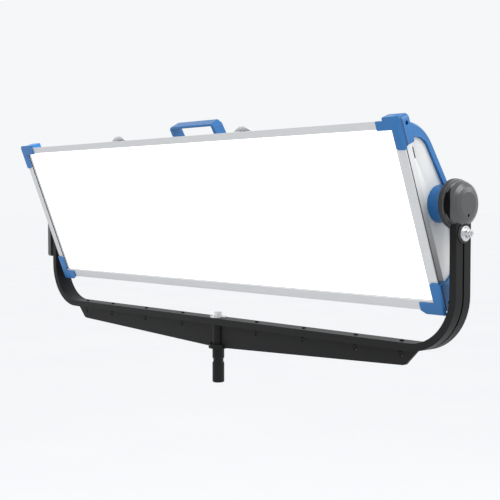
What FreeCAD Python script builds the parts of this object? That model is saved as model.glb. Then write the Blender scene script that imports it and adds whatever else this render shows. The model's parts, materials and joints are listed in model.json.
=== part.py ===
import FreeCAD, Part
import math
import os
import Sketcher

# A long LED soft light in a U-shaped yoke, built as separate pieces in millimetres.
#
# The yoke frame has its origin on the spigot axis, at the underside of the spigot's collar.
# +X runs along the lamp, +Y to its back and +Z up.  Head pieces are drawn level, about the
# tilt axis, and then placed at the tilt angle; in their drawings "depth" counts backwards
# from the face of the rim.

DIMENSIONS = {
    # Tilt joint
    "pivot_height": 338,
    "head_tilt": 20.9,
    "axis_depth": 76,
    "axle_radius": 10,
    "running_gap": 0.05,
    # Rim round the light opening
    "rim_half_width": 664,
    "rim_half_height": 187.5,
    "rim_bottom_height": 186,
    "rim_flange": 17,
    "rim_top_flange": 15.5,
    "rim_bottom_flange": 20,
    "rim_sheet": 2.6,
    "rim_web_inset": 9,
    "rim_depth": 11,
    # Corner brackets on the rim
    "bracket_wall": 4.5,
    "bracket_rise": 7,
    "bracket_face": 3.8,
    "bracket_back": 1,
    "bracket_arm": 54,
    "bracket_leg": 18.5,
    "bracket_foot_top": 132,
    "bracket_foot_bottom": 128,
    "bracket_chamfer": 4,
    "bracket_edge": 4.2,
    # Diffuser
    "diffuser_front": 4.2,
    "diffuser_frame_depth": 3.4,
    "diffuser_sheet_depth": 2,
    "diffuser_half_width": 652,
    "diffuser_clear_half_width": 638,
    "diffuser_bottom": 175.5,
    "diffuser_top": 186,
    "diffuser_clear_top": 170.5,
    "diffuser_clear_bottom": 165.7,
    # Housing
    "panel_half_width": 646.5,
    "panel_sheet": 2,
    "panel_half_height": 170.8,
    "panel_step_depth": 30.5,
    "panel_rear_depth": 103,
    "panel_shoulder_depth": 71.3,
    "panel_shoulder_height": 132.3,
    "panel_step_height": 146.5,
    "shoulder_radius": 36,
    "cover_half_width": 631.5,
    "cover_sheet": 2,
    "chamber_sheet": 1.5,
    "chamber_half_height": 168.5,
    "chamber_floor_half_height": 126,
    "chamber_floor_depth": 58,
    "chamber_front_depth": 9.2,
    # Side bumpers
    "bumper_outer": 652,
    "bumper_inner": 632,
    "bumper_gap": 0.5,
    "bumper_rear_depth": 118,
    "bumper_shoulder_depth": 83.3,
    "bumper_shoulder_height": 146.8,
    "bumper_start_height": 180.7,
    "bumper_shoulder_radius": 80,
    "bumper_chamfer": 4,
    "block_front_depth": 8,
    "block_rear_depth": 31,
    "block_half_height": 191.8,
    "block_foot": 136,
    "block_inner": 618,
    "block_round": 9,
    "block_foot_round": 6,
    "socket_radius": 4,
    "socket_length": 11,
    "socket_height": 176,
    "socket_depth": 20,
    # LED engine and cooling
    "plate_front_depth": 58.2,
    "plate_sheet": 3.8,
    "board_length": 198,
    "board_pitch": 206,
    "board_height": 228,
    "board_sheet": 1.6,
    "sink_start": 266,
    "sink_length": 362,
    "sink_half_height": 122,
    "sink_base": 4,
    "sink_rear_depth": 100,
    "fin_sheet": 2,
    "fin_pitch": 12,
    "fan_place": 450,
    "fan_size": 92,
    "fan_front_depth": 68,
    "fan_depth": 22,
    # Electronics case on the back
    "case_half_width": 262,
    "case_top": 150,
    "case_bottom": 140,
    "case_front_depth": 62.2,
    "case_rear_depth": 140,
    "case_chamfer": 22,
    "case_wall": 2.5,
    # Control panel
    "console_centre": 130,
    "console_half_width": 105,
    "console_half_height": 58,
    "console_sheet": 3,
    "knob_radius": 12,
    "knob_length": 16,
    "knob_place": 55,
    "knob_pitch": 35,
    "button_width": 15.6,
    "button_height": 8.6,
    "button_row": 25,
    # Carry handle
    "handle_half_length": 80,
    "handle_leg": 10,
    "handle_half_flat": 70,
    "handle_top": 198.3,
    "handle_front_top": 194,
    "handle_shoulder": 188,
    "handle_underside": 189,
    "handle_foot_front": 68.7,
    "handle_foot_rear": 95.4,
    "handle_top_front": 61.7,
    "handle_top_rear": 87.8,
    # Hubs and friction discs
    "hub_radius": 35,
    "hub_lip": 1,
    "disc_start": 679,
    "disc_radius": 47,
    # Yoke
    "yoke_half_width": 703.5,
    "yoke_thickness": 15.3,
    "yoke_depth": 43,
    "yoke_underside": 57,
    "yoke_inner_radius": 96.7,
    "groove_width": 4.5,
    "groove_depth": 5,
    "groove_undercut": 9,
    "bush_radius": 13,
    "cap_radius": 46,
    "cap_dome_radius": 43.5,
    "cap_reach": 714,
    "lever_reach": 19,
    "clamp_drop": 54,
    "clamp_washer_radius": 18,
    # Beam plates under the yoke bar
    "beam_sheet": 6,
    "beam_inner_end": 14.6,
    "beam_low": 2,
    "beam_end_low": 26,
    "beam_end": 600,
    "beam_low_end": 570,
    "beam_bolt_radius": 2,
    "beam_slot_width": 6,
    "beam_slot_bottom": 42,
    # Spigot
    "spigot_radius": 14,
    "spigot_length": 80,
    "collar_radius": 23,
    "collar_height": 11,
    "bolt_radius": 5,
}

BEAM_BOLT_PLACES = (135, 286, 437, 558)
LATCH_PLACE = 227
POWER_INLET = (205, -90)
POWER_SWITCH = (205, -55)
NETWORK_SOCKET = (150, -90)
DATA_SOCKETS = ((60, -90), (100, -90))
DISPLAY = (-165, 18)
DISPLAY_SIZE = (96, 50)
BUTTON_COLUMNS = {"left": -200, "middle": -165, "right": -130}
KNOB_ROWS = {"top": 1, "middle": 0, "bottom": -1}
SIDES = {"left": -1, "right": 1}

doc = FreeCAD.newDocument("led_soft_light")
sheet = doc.addObject("Spreadsheet::Sheet", "Dimensions")
for row, (alias, number) in enumerate(DIMENSIONS.items(), start=1):
    sheet.set(f"A{row}", alias.replace("_", " "))
    sheet.set(f"B{row}", str(number))
    sheet.setAlias(f"B{row}", alias)
doc.recompute()


# ---------------------------------------------------------------- sizes with formulas

class Size:
    """A number that remembers the spreadsheet formula it comes from."""

    def __init__(self, value, formula):
        self.value = value
        self.formula = formula

    def __add__(self, other):
        other = as_size(other)
        return Size(self.value + other.value, f"({self.formula} + {other.formula})")

    def __sub__(self, other):
        other = as_size(other)
        return Size(self.value - other.value, f"({self.formula} - {other.formula})")

    def __rsub__(self, other):
        return as_size(other) - self

    def __mul__(self, factor):
        return Size(self.value * factor, f"({self.formula} * ({factor}))")

    def __truediv__(self, divisor):
        return Size(self.value / divisor, f"({self.formula} / {divisor})")

    def __neg__(self):
        return self * -1

    __radd__ = __add__
    __rmul__ = __mul__


class Cells:
    """The spreadsheet's cells, each read by its alias as a Size."""

    def __getattr__(self, alias):
        return Size(float(sheet.get(alias)), "Dimensions." + alias)


D = Cells()


def as_size(number):
    return number if isinstance(number, Size) else Size(float(number), f"({float(number)})")


def bind(thing, path, size):
    thing.setExpression(path, as_size(size).formula)


def depth(behind_face):
    """Distance behind the rim's face, counted from the tilt axis."""
    return behind_face - D.axis_depth


# ---------------------------------------------------------------- primitives

TURNS = {
    "x": FreeCAD.Rotation(FreeCAD.Vector(0, 1, 0), 90),
    "y": FreeCAD.Rotation(FreeCAD.Vector(1, 0, 0), -90),
    "z": FreeCAD.Rotation(),
}


def move_to(thing, point):
    for axis, distance in zip("xyz", point):
        bind(thing, ".Placement.Base." + axis, distance)


def block(low, high):
    """A rectangular block between two corners."""
    piece = doc.addObject("Part::Box", "Block")
    for edge, start, end in zip(("Length", "Width", "Height"), low, high):
        bind(piece, edge, end - start)
    move_to(piece, low)
    return piece


def rod(radius, start, length, axis="z"):
    """A round rod from a start point along one axis."""
    piece = doc.addObject("Part::Cylinder", "Rod")
    piece.Placement = FreeCAD.Placement(FreeCAD.Vector(), TURNS[axis])
    bind(piece, "Radius", radius)
    bind(piece, "Height", length)
    move_to(piece, start)
    return piece


def ring(radius, thickness, centre, axis="z"):
    """A round ring of round section."""
    piece = doc.addObject("Part::Torus", "Ring")
    piece.Placement = FreeCAD.Placement(FreeCAD.Vector(), TURNS[axis])
    bind(piece, "Radius1", radius)
    bind(piece, "Radius2", thickness)
    move_to(piece, centre)
    return piece


def fuse(*pieces):
    joined = doc.addObject("Part::MultiFuse", "Joined")
    joined.Shapes = list(pieces)
    return joined


def group(*pieces):
    """Several separate solids in one node."""
    bundle = doc.addObject("Part::Compound", "Group")
    bundle.Links = list(pieces)
    return bundle


def cut(base, *tools):
    remains = doc.addObject("Part::Cut", "Trimmed")
    remains.Base = base
    remains.Tool = tools[0] if len(tools) == 1 else fuse(*tools)
    return remains


# ---------------------------------------------------------------- sketched bodies

def new_body(name):
    return doc.addObject("PartDesign::Body", name)


def new_sketch(body, plane, offset=(0, 0, 0)):
    drawing = body.newObject("Sketcher::SketchObject", "Sketch")
    origin_plane = [item for item in body.Origin.OriginFeatures if item.Role == plane][0]
    drawing.AttachmentSupport = [(origin_plane, "")]
    drawing.MapMode = "FlatFace"
    for axis, distance in zip("xyz", offset):
        bind(drawing, ".AttachmentOffset.Base." + axis, distance)
    return drawing


def hold(drawing, kind, places, size):
    """Adds one driving dimension to a sketch and binds it to its formula."""
    index = drawing.addConstraint(Sketcher.Constraint(kind, *places, as_size(size).value))
    bind(drawing, f"Constraints[{index}]", size)


def draw_polygon(drawing, corners):
    first = drawing.GeometryCount
    count = len(corners)
    points = [FreeCAD.Vector(as_size(a).value, as_size(b).value, 0) for a, b in corners]
    lines = [Part.LineSegment(points[i], points[(i + 1) % count]) for i in range(count)]
    drawing.addGeometry(lines)
    drawing.addConstraint([
        Sketcher.Constraint("Coincident", first + i, 2, first + (i + 1) % count, 1)
        for i in range(count)
    ])
    for i, (a, b) in enumerate(corners):
        hold(drawing, "DistanceX", (-1, 1, first + i, 1), a)
        hold(drawing, "DistanceY", (-1, 1, first + i, 1), b)


def draw_circle(drawing, centre, radius):
    place = FreeCAD.Vector(as_size(centre[0]).value, as_size(centre[1]).value, 0)
    up = FreeCAD.Vector(0, 0, 1)
    index = drawing.addGeometry(Part.Circle(place, up, as_size(radius).value))
    hold(drawing, "DistanceX", (-1, 1, index, 3), centre[0])
    hold(drawing, "DistanceY", (-1, 1, index, 3), centre[1])
    hold(drawing, "Radius", (index,), radius)


# A sketch's own normal, and what turns an offset along +X, +Y or +Z into one along it.
NORMAL_SIGN = {"XY_Plane": 1, "YZ_Plane": 1, "XZ_Plane": -1}


def pad_polygon(body, plane, corners, start, end):
    """Pads an outline from one distance to another along the plane's world axis."""
    sign = NORMAL_SIGN[plane]
    drawing = new_sketch(body, plane, (0, 0, as_size(start) * sign))
    draw_polygon(drawing, corners)
    feature = body.newObject("PartDesign::Pad", "Pad")
    feature.Profile = drawing
    bind(feature, "Length", as_size(end) - start)
    feature.Reversed = sign < 0
    return feature


def pocket(body, plane, draw, start, end):
    """Cuts what draw() puts on a sketch, between two distances, and checks that it cut."""
    doc.recompute()
    before = body.Shape.Volume
    sign = NORMAL_SIGN[plane]
    drawing = new_sketch(body, plane, (0, 0, as_size(start) * sign))
    draw(drawing)
    feature = body.newObject("PartDesign::Pocket", "Pocket")
    feature.Profile = drawing
    bind(feature, "Length", as_size(end) - start)
    feature.Reversed = sign > 0
    doc.recompute()
    if not body.Shape.Volume < before:
        raise RuntimeError(f"{body.Name}: a pocket removed nothing")
    return feature


def turned(body, plane, corners, about="H_Axis", offset=(0, 0, 0)):
    """Revolves an outline about its sketch's own horizontal or vertical axis."""
    drawing = new_sketch(body, plane, offset)
    draw_polygon(drawing, corners)
    feature = body.newObject("PartDesign::Revolution", "Revolution")
    feature.Profile = drawing
    feature.ReferenceAxis = (drawing, [about])
    feature.Angle = 360
    return feature


def soften(body, kind, size, chosen):
    """Fillets or chamfers the edges of the body's tip that chosen(edge) picks."""
    doc.recompute()
    base = body.Tip
    names = [f"Edge{i}" for i, edge in enumerate(base.Shape.Edges, start=1) if chosen(edge)]
    if not names:
        raise RuntimeError(f"{body.Name}: no edge to soften")
    feature = body.newObject("PartDesign::" + kind, kind)
    feature.Base = (base, names)
    bind(feature, "Radius" if kind == "Fillet" else "Size", size)
    doc.recompute()
    return feature


def along(edge, axis):
    """True for a straight edge along one axis."""
    if not isinstance(edge.Curve, Part.Line):
        return False
    return abs(edge.tangentAt(edge.FirstParameter).dot(axis)) > 0.999


X_AXIS = FreeCAD.Vector(1, 0, 0)
Y_AXIS = FreeCAD.Vector(0, 1, 0)
Z_AXIS = FreeCAD.Vector(0, 0, 1)


def near(edge, **wanted):
    """True when the edge's middle has the wanted coordinates, whatever their sign."""
    middle = edge.CenterOfMass
    return all(abs(abs(getattr(middle, axis)) - abs(as_size(size).value)) < 0.6
               for axis, size in wanted.items())


# ---------------------------------------------------------------- finished sub-parts

SUBPARTS = []


def finish_yoke_part(piece, label, base=(0, 0, 0)):
    """Names a sub-part that is drawn in the yoke frame, moved by base."""
    move_to(piece, base)
    piece.Label = label
    SUBPARTS.append(piece)
    return piece


def finish_axis_part(piece, label):
    """Names a sub-part of the yoke that is drawn about the tilt axis."""
    return finish_yoke_part(piece, label, (0, 0, D.pivot_height))


def finish_head_part(piece, label):
    """Names a sub-part of the head, and tilts it about the tilt axis."""
    piece.Placement = FreeCAD.Placement(FreeCAD.Vector(), FreeCAD.Rotation(X_AXIS, 1))
    bind(piece, ".Placement.Rotation.Angle", D.head_tilt)
    return finish_axis_part(piece, label)


# ---------------------------------------------------------------- rim and brackets

def make_rim():
    half = D.rim_half_width
    inner = half - D.rim_flange
    height = D.rim_half_height

    top = new_body("rim_top")
    low = height - D.rim_top_flange
    pad_polygon(top, "YZ_Plane", [
        (depth(0), low), (depth(D.rim_sheet), low),
        (depth(D.rim_sheet), height), (depth(0), height),
    ], -inner, inner)
    finish_head_part(top, "rim_top")

    bottom = new_body("rim_bottom")
    web = height - D.rim_web_inset
    edge = D.rim_bottom_height
    pad_polygon(bottom, "YZ_Plane", [
        (depth(0), -edge), (depth(0), D.rim_bottom_flange - edge),
        (depth(D.rim_sheet), D.rim_bottom_flange - edge), (depth(D.rim_sheet), 2.5 - web),
        (depth(D.rim_depth - 2), 2.5 - web), (depth(D.rim_depth - 2), 9.5 - web),
        (depth(D.rim_depth), 9.5 - web), (depth(D.rim_depth), -web),
        (depth(D.rim_sheet), -web), (depth(D.rim_sheet), -edge),
    ], -inner, inner)
    finish_head_part(bottom, "rim_bottom")

    rails = []
    for side, sign in SIDES.items():
        rail = new_body("rim_" + side)
        outline = [
            (inner, 0), (half, 0), (half, D.rim_sheet),
            (half - D.rim_web_inset, D.rim_sheet), (half - D.rim_web_inset, D.rim_depth),
            (D.panel_half_width + 0.2, D.rim_depth),
            (D.panel_half_width + 0.2, D.rim_depth - 2),
            (half - D.rim_web_inset - 2.5, D.rim_depth - 2),
            (half - D.rim_web_inset - 2.5, D.rim_sheet), (inner, D.rim_sheet),
        ]
        pad_polygon(rail, "XY_Plane", [(x * sign, depth(y)) for x, y in outline],
                    -D.rim_bottom_height, height)
        rails.append(rail)
    finish_head_part(group(*rails), "rim_sides")


def make_corner_bracket(side, sign, level, up):
    """An L-shaped cap that wraps the front of one corner of the rim."""
    at_top = up > 0
    height = D.rim_half_height if at_top else D.rim_bottom_height
    flange_low = height - (D.rim_top_flange if at_top else D.rim_bottom_flange)
    outer = D.rim_half_width + D.bracket_wall
    flush = height + 0.5
    crest = height + D.bracket_rise
    arm_end = D.rim_half_width - D.bracket_arm
    arm_low = D.rim_half_height - 17.5
    ramp_start, ramp_end = (arm_end + 17, arm_end + 25) if at_top else (arm_end + 1, arm_end + 12)
    leg_inner = D.rim_half_width - D.bracket_leg
    soft = D.bracket_chamfer
    foot = D.bracket_foot_top if at_top else D.bracket_foot_bottom
    outline = [
        (arm_end, arm_low), (arm_end, flush), (ramp_start, flush), (ramp_end, crest),
        (outer, crest), (outer, foot + soft), (outer - soft, foot),
        (leg_inner + soft, foot), (leg_inner, foot + soft), (leg_inner, arm_low),
    ]
    name = f"corner_bracket_{level}_{side}"
    body = new_body("bracket_blank")
    pad_polygon(body, "XZ_Plane", [(x * sign, z * up) for x, z in outline],
                depth(-D.bracket_face), depth(D.bracket_back))
    corner_round = 7 if at_top else 2.5
    soften(body, "Fillet", corner_round, lambda edge: (
        along(edge, Y_AXIS) and near(edge, x=outer, z=crest)))
    front = D.bracket_face + D.axis_depth
    soften(body, "Chamfer", 1.2, lambda edge: near(edge, y=front))
    inner = D.rim_half_width - D.rim_flange
    back = depth(D.bracket_back + 1)

    def corner_block(x_start, x_end, z_start, z_end):
        xs = sorted((x_start * sign, x_end * sign), key=lambda size: size.value)
        zs = sorted((z_start * up, z_end * up), key=lambda size: size.value)
        return block((xs[0], depth(0), zs[0]), (xs[1], back, zs[1]))

    tools = [
        corner_block(inner, D.rim_half_width, foot - 1, height),
        corner_block(arm_end - 1, D.rim_half_width, flange_low, height),
    ]

    ahead = depth(-D.bracket_face - 1)
    slant = new_body("side_slant")
    pad_polygon(slant, "XY_Plane", [
        ((outer - D.bracket_edge - 1) * sign, ahead), ((outer + 1) * sign, ahead),
        ((outer + 1) * sign, ahead + D.bracket_edge + 2),
    ], -crest - 5, crest + 5)
    tools.append(slant)
    if at_top:
        slope = new_body("top_slope")
        low, high = sorted(((arm_end - 1) * sign, (outer + 1) * sign), key=lambda size: size.value)
        pad_polygon(slope, "YZ_Plane", [
            (ahead, flush - 1.6), (depth(D.bracket_back - 0.8), crest),
            (depth(D.bracket_back - 0.8), crest + 5), (ahead, crest + 5),
        ], low, high)
        tools.append(slope)
    finish_head_part(cut(body, *tools), name)


def make_corner_brackets():
    for level, up in (("top", 1), ("bottom", -1)):
        for side, sign in SIDES.items():
            make_corner_bracket(side, sign, level, up)


# ---------------------------------------------------------------- housing

def make_side_panels():
    half = D.panel_half_height
    step = D.panel_step_depth
    shoulder = (depth(D.panel_shoulder_depth), D.panel_shoulder_height)
    outline = [
        (depth(D.rim_depth + 0.1), -half), (depth(step), -half),
        (depth(step), -D.panel_step_height), (shoulder[0], -shoulder[1]),
        (depth(D.panel_rear_depth), 0), shoulder,
        (depth(step), D.panel_step_height), (depth(step), half),
        (depth(D.rim_depth + 0.1), half),
    ]
    for side, sign in SIDES.items():
        body = new_body("side_panel_" + side)
        outer = D.panel_half_width * sign
        inner = (D.panel_half_width - D.panel_sheet) * sign
        start, end = sorted((outer, inner), key=lambda size: size.value)
        pad_polygon(body, "YZ_Plane", outline, start, end)
        soften(body, "Fillet", D.shoulder_radius,
               lambda edge: along(edge, X_AXIS) and near(edge, z=D.panel_shoulder_height))

        def holes(drawing):
            draw_circle(drawing, (0, 0), D.axle_radius)
            for turn in range(4):
                angle = math.radians(45 + 90 * turn)
                draw_circle(drawing, (26 * math.cos(angle), 26 * math.sin(angle)), 2.5)
            draw_polygon(drawing, [
                (depth(38.5), 103), (depth(41.5), 103), (depth(41.5), 125), (depth(38.5), 125),
            ])

        pocket(body, "YZ_Plane", holes, start, end)
        finish_head_part(body, "side_panel_" + side)


def outside_of_panel(edge):
    """True for an edge on the outer curve of a bumper rail, not on its inner one."""
    middle = edge.valueAt((edge.FirstParameter + edge.LastParameter) / 2)
    rise = abs(middle.z) / D.bumper_shoulder_height.value
    inner_line = D.panel_rear_depth.value + (D.panel_shoulder_depth - D.panel_rear_depth).value * rise
    return middle.y > depth(inner_line).value + 6


def make_side_bumpers():
    """The rear guard of each end: a bowed rail and the two corner blocks, in one casting."""
    for side, sign in SIDES.items():
        def end_to_end(inner, outer):
            return sorted((inner * sign, outer * sign), key=lambda size: size.value)

        rail = new_body("bumper_rail_" + side)
        gap = D.bumper_gap
        rear = D.block_rear_depth - 0.5
        outer_points = [
            (depth(rear), D.bumper_start_height),
            (depth(D.bumper_shoulder_depth), D.bumper_shoulder_height),
            (depth(D.bumper_rear_depth), 0),
        ]
        inner_points = [
            (depth(rear), D.panel_step_height + gap),
            (depth(D.panel_shoulder_depth + gap), D.panel_shoulder_height + gap),
            (depth(D.panel_rear_depth + gap), 0),
        ]
        outline = outer_points + [(y, -z) for y, z in reversed(outer_points[:2])]
        outline += [(y, -z) for y, z in inner_points[:2]] + inner_points[::-1]
        start, end = end_to_end(D.bumper_inner, D.bumper_outer)
        pad_polygon(rail, "YZ_Plane", outline, start, end)
        soften(rail, "Fillet", D.bumper_shoulder_radius, lambda edge: along(edge, X_AXIS) and near(
            edge, y=depth(D.bumper_shoulder_depth), z=D.bumper_shoulder_height))
        soften(rail, "Fillet", D.shoulder_radius, lambda edge: along(edge, X_AXIS) and near(
            edge, y=depth(D.panel_shoulder_depth + gap), z=D.panel_shoulder_height + gap))
        soften(rail, "Chamfer", D.bumper_chamfer, lambda edge: (
            near(edge, x=D.bumper_outer) and edge.Length > 20 and outside_of_panel(edge)))

        blocks = []
        for up in (1, -1):
            corner = new_body("bumper_block")
            outline = [
                (D.block_inner, D.panel_half_height + 0.4), (D.block_inner, D.block_half_height),
                (D.rim_half_width, D.block_half_height),
                (D.rim_half_width, D.block_foot), (D.panel_half_width + 0.1, D.block_foot),
                (D.panel_half_width + 0.1, D.panel_half_height + 0.4),
            ]
            pad_polygon(corner, "XZ_Plane", [(x * sign, z * up) for x, z in outline],
                        depth(D.block_front_depth), depth(D.block_rear_depth))
            soften(corner, "Fillet", D.block_round, lambda edge: (
                along(edge, Y_AXIS) and near(edge, x=D.rim_half_width, z=D.block_half_height)))
            soften(corner, "Fillet", D.block_foot_round, lambda edge: (
                along(edge, Y_AXIS) and near(edge, x=D.rim_half_width, z=D.block_foot)))
            soften(corner, "Chamfer", 2, lambda edge: (
                near(edge, x=D.rim_half_width) and along(edge, Z_AXIS)
                or near(edge, z=D.block_half_height) and along(edge, X_AXIS)))
            blocks.append(corner)

        low, high = end_to_end(D.panel_half_width - 0.05, D.panel_half_width + 30)
        hub_room = rod(D.hub_radius + D.hub_lip + 0.5, (low, 0, 0), high - low, "x")
        low, high = end_to_end(D.panel_half_width - 1, D.rim_half_width - D.rim_web_inset + 0.2)
        reach = D.rim_half_height + 10
        rim_room = block((low, depth(0), -reach), (high, depth(D.rim_depth + 0.1), reach))
        low, high = end_to_end(D.block_inner - 1, D.panel_half_width)
        web_room = block((low, depth(0), -D.rim_half_height),
                         (high, depth(D.rim_depth + 0.1), -D.panel_half_height))
        sockets = []
        for up in (1, -1):
            low, high = end_to_end(D.rim_half_width - D.socket_length, D.rim_half_width)
            sockets.append(rod(D.socket_radius, (low, depth(D.socket_depth), D.socket_height * up),
                               high - low, "x"))
        bumper = cut(fuse(rail, *blocks), hub_room, rim_room, web_room, *sockets)
        finish_head_part(bumper, "side_bumper_" + side)


def make_covers():
    """Bent sheets that close the housing above and below the light chamber."""
    sheet_size = D.cover_sheet
    top = D.panel_half_height + 0.2
    fronts = {"top_cover": depth(D.chamber_front_depth), "bottom_cover": depth(D.rim_depth + 0.1)}
    for name, up in (("top_cover", 1), ("bottom_cover", -1)):
        body = new_body(name)
        front = fronts[name]
        outline = [
            (front, top - sheet_size), (front, top), (depth(32), top), (depth(62), 133),
            (depth(59.5), 133), (depth(31), top - sheet_size),
        ]
        pad_polygon(body, "YZ_Plane", [(y, z * up) for y, z in outline],
                    -D.cover_half_width, D.cover_half_width)
        finish_head_part(body, name)


def make_light_chamber():
    """White tray that mixes the light of the LED boards."""
    wall = D.chamber_sheet
    front = D.chamber_front_depth
    half_length = D.cover_half_width - 0.5

    def tray(name, inset, mouth, reach):
        body = new_body(name)
        outline = [
            (depth(mouth), D.chamber_half_height - inset),
            (depth(16), D.chamber_half_height - inset),
            (depth(D.chamber_floor_depth - inset), D.chamber_floor_half_height - inset),
        ]
        outline += [(y, -z) for y, z in reversed(outline)]
        pad_polygon(body, "YZ_Plane", outline, -reach, reach)
        return body

    outside = tray("chamber_outside", 0, front, half_length)
    inside = tray("chamber_inside", wall, front - 1, half_length - wall)
    lip_reach = D.panel_half_width - D.panel_sheet - 0.2
    inner_reach = half_length - wall
    lips = []
    for sign in SIDES.values():
        start, end = sorted((inner_reach * sign, lip_reach * sign), key=lambda size: size.value)
        lips.append(block((start, depth(front), -D.chamber_half_height),
                          (end, depth(front + wall), D.chamber_half_height)))
    finish_head_part(fuse(cut(outside, inside), *lips), "light_chamber")


# ---------------------------------------------------------------- LED engine and cooling

def make_led_engine():
    reach = D.cover_half_width - 1
    half = D.chamber_floor_half_height - 2
    front = D.plate_front_depth
    plate = block((-reach, depth(front), -half), (reach, depth(front + D.plate_sheet), half))
    finish_head_part(group(plate), "cold_plate")

    board_count = 6
    board_back = D.chamber_floor_depth - D.chamber_sheet
    board_front = board_back - D.board_sheet
    boards = []
    emitters = []
    for column in range(board_count):
        middle = D.board_pitch * (column - (board_count - 1) / 2)
        boards.append(block(
            (middle - D.board_length / 2, depth(board_front), -D.board_height / 2),
            (middle + D.board_length / 2, depth(board_back), D.board_height / 2)))
        for across in range(6):
            for row in range(6):
                x = middle.value + (across - 2.5) * 32
                z = (row - 2.5) * 36
                corner = FreeCAD.Vector(x - 3, depth(board_front).value - 1.2, z - 3)
                emitters.append(Part.makeBox(6, 1.2, 6, corner))
    finish_head_part(group(*boards), "led_boards")
    chips = doc.addObject("Part::Feature", "led_emitters")
    chips.Shape = Part.makeCompound(emitters)
    finish_head_part(chips, "led_emitters")


def make_heat_sinks():
    sinks = []
    for side, sign in SIDES.items():
        body = new_body("heat_sink_" + side)
        half = D.sink_half_height
        base_front = D.plate_front_depth + D.plate_sheet
        base_back = base_front + D.sink_base
        start = D.sink_start
        end = D.sink_start + D.sink_length
        low, high = sorted((start * sign, end * sign), key=lambda size: size.value)
        pad_polygon(body, "YZ_Plane", [
            (depth(base_front), -half), (depth(base_back), -half),
            (depth(base_back), half), (depth(base_front), half),
        ], low, high)
        fin = pad_polygon(body, "YZ_Plane", [
            (depth(base_back - 1), -half), (depth(base_back + 5), -half),
            (depth(D.sink_rear_depth), 0), (depth(base_back + 5), half),
            (depth(base_back - 1), half),
        ], low, low + D.fin_sheet)
        doc.recompute()
        pattern = body.newObject("PartDesign::LinearPattern", "Fins")
        pattern.Originals = [fin]
        pattern.Direction = (fin.Profile[0], ["N_Axis"])
        bind(pattern, "Length", D.fin_pitch * 30)
        pattern.Occurrences = 31
        body.Tip = pattern
        room = D.fan_size / 2 + 0.5
        centre = D.fan_place * sign

        def fan_room(drawing):
            draw_polygon(drawing, [
                (centre - room, -room), (centre + room, -room),
                (centre + room, room), (centre - room, room),
            ])

        pocket(body, "XZ_Plane", fan_room, depth(D.fan_front_depth - 0.5), depth(120))
        sinks.append(body)
    finish_head_part(group(*sinks), "heat_sinks")


def fan_blade(turn, middle):
    """One twisted blade of a fan, from the hub to the tip, turned about the fan's middle."""
    sections = []
    for radius, pitch in ((14, 52), (28, 38), (41, 28)):
        chord = 9 + radius * 0.32
        lean = math.radians(pitch)
        corners = []
        for along_chord, across in ((-1, -1), (1, -1), (1, 1), (-1, 1)):
            a = along_chord * chord / 2
            b = across * 0.8
            corners.append(FreeCAD.Vector(a * math.cos(lean) - b * math.sin(lean),
                                          a * math.sin(lean) + b * math.cos(lean), radius))
        sections.append(Part.makePolygon(corners + corners[:1]))
    blade = Part.makeLoft(sections, True, True)
    blade.rotate(FreeCAD.Vector(), Y_AXIS, turn)
    blade.translate(middle)
    return blade


def make_fans():
    size = D.fan_size
    front = D.fan_front_depth
    rear = front + D.fan_depth
    frames = []
    guards = []
    for side, sign in SIDES.items():
        x = D.fan_place * sign
        shell = block((x - size / 2, depth(front), -size / 2), (x + size / 2, depth(rear), size / 2))
        hole = rod(size / 2 - 2, (x, depth(front + 1.5), 0), D.fan_depth, "y")
        inlets = [rod(3.5, (x + across * 30, depth(front - 1), up * 30), 4, "y")
                  for across in (-1, 1) for up in (-1, 1)]
        pin = rod(2, (x, depth(front + 1), 0), 16, "y")
        frames.append(fuse(cut(shell, hole, *inlets), pin))

        wires = [ring(radius, 0.9, (x, depth(rear + 1), 0), "y") for radius in (12, 24, 36, 44)]
        for turn in range(4):
            angle = math.radians(45 + 90 * turn)
            spoke = doc.addObject("Part::Feature", "Spoke")
            middle = FreeCAD.Vector(x.value, depth(rear + 1).value, 0)
            outward = FreeCAD.Vector(math.cos(angle), 0, math.sin(angle))
            spoke.Shape = Part.makeCylinder(0.9, 44, middle + outward * 11, outward)
            wires.append(spoke)
        guards.append(fuse(*wires))

        middle = FreeCAD.Vector(x.value, depth(front + D.fan_depth / 2 + 0.5).value, 0)
        hub = Part.makeCylinder(16, 14, middle - Y_AXIS * 7, Y_AXIS)
        blades = [fan_blade(360 / 7 * count, middle) for count in range(7)]
        bore = Part.makeCylinder(2 + D.running_gap.value, 14, middle - Y_AXIS * 8, Y_AXIS)
        rotor = doc.addObject("Part::Feature", "fan_rotor_" + side)
        rotor.Shape = hub.fuse(blades).removeSplitter().cut(bore)
        finish_head_part(rotor, "fan_rotor_" + side)
    finish_head_part(group(*frames), "fan_frames")
    finish_head_part(group(*guards), "fan_guards")


# ---------------------------------------------------------------- electronics case

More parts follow.
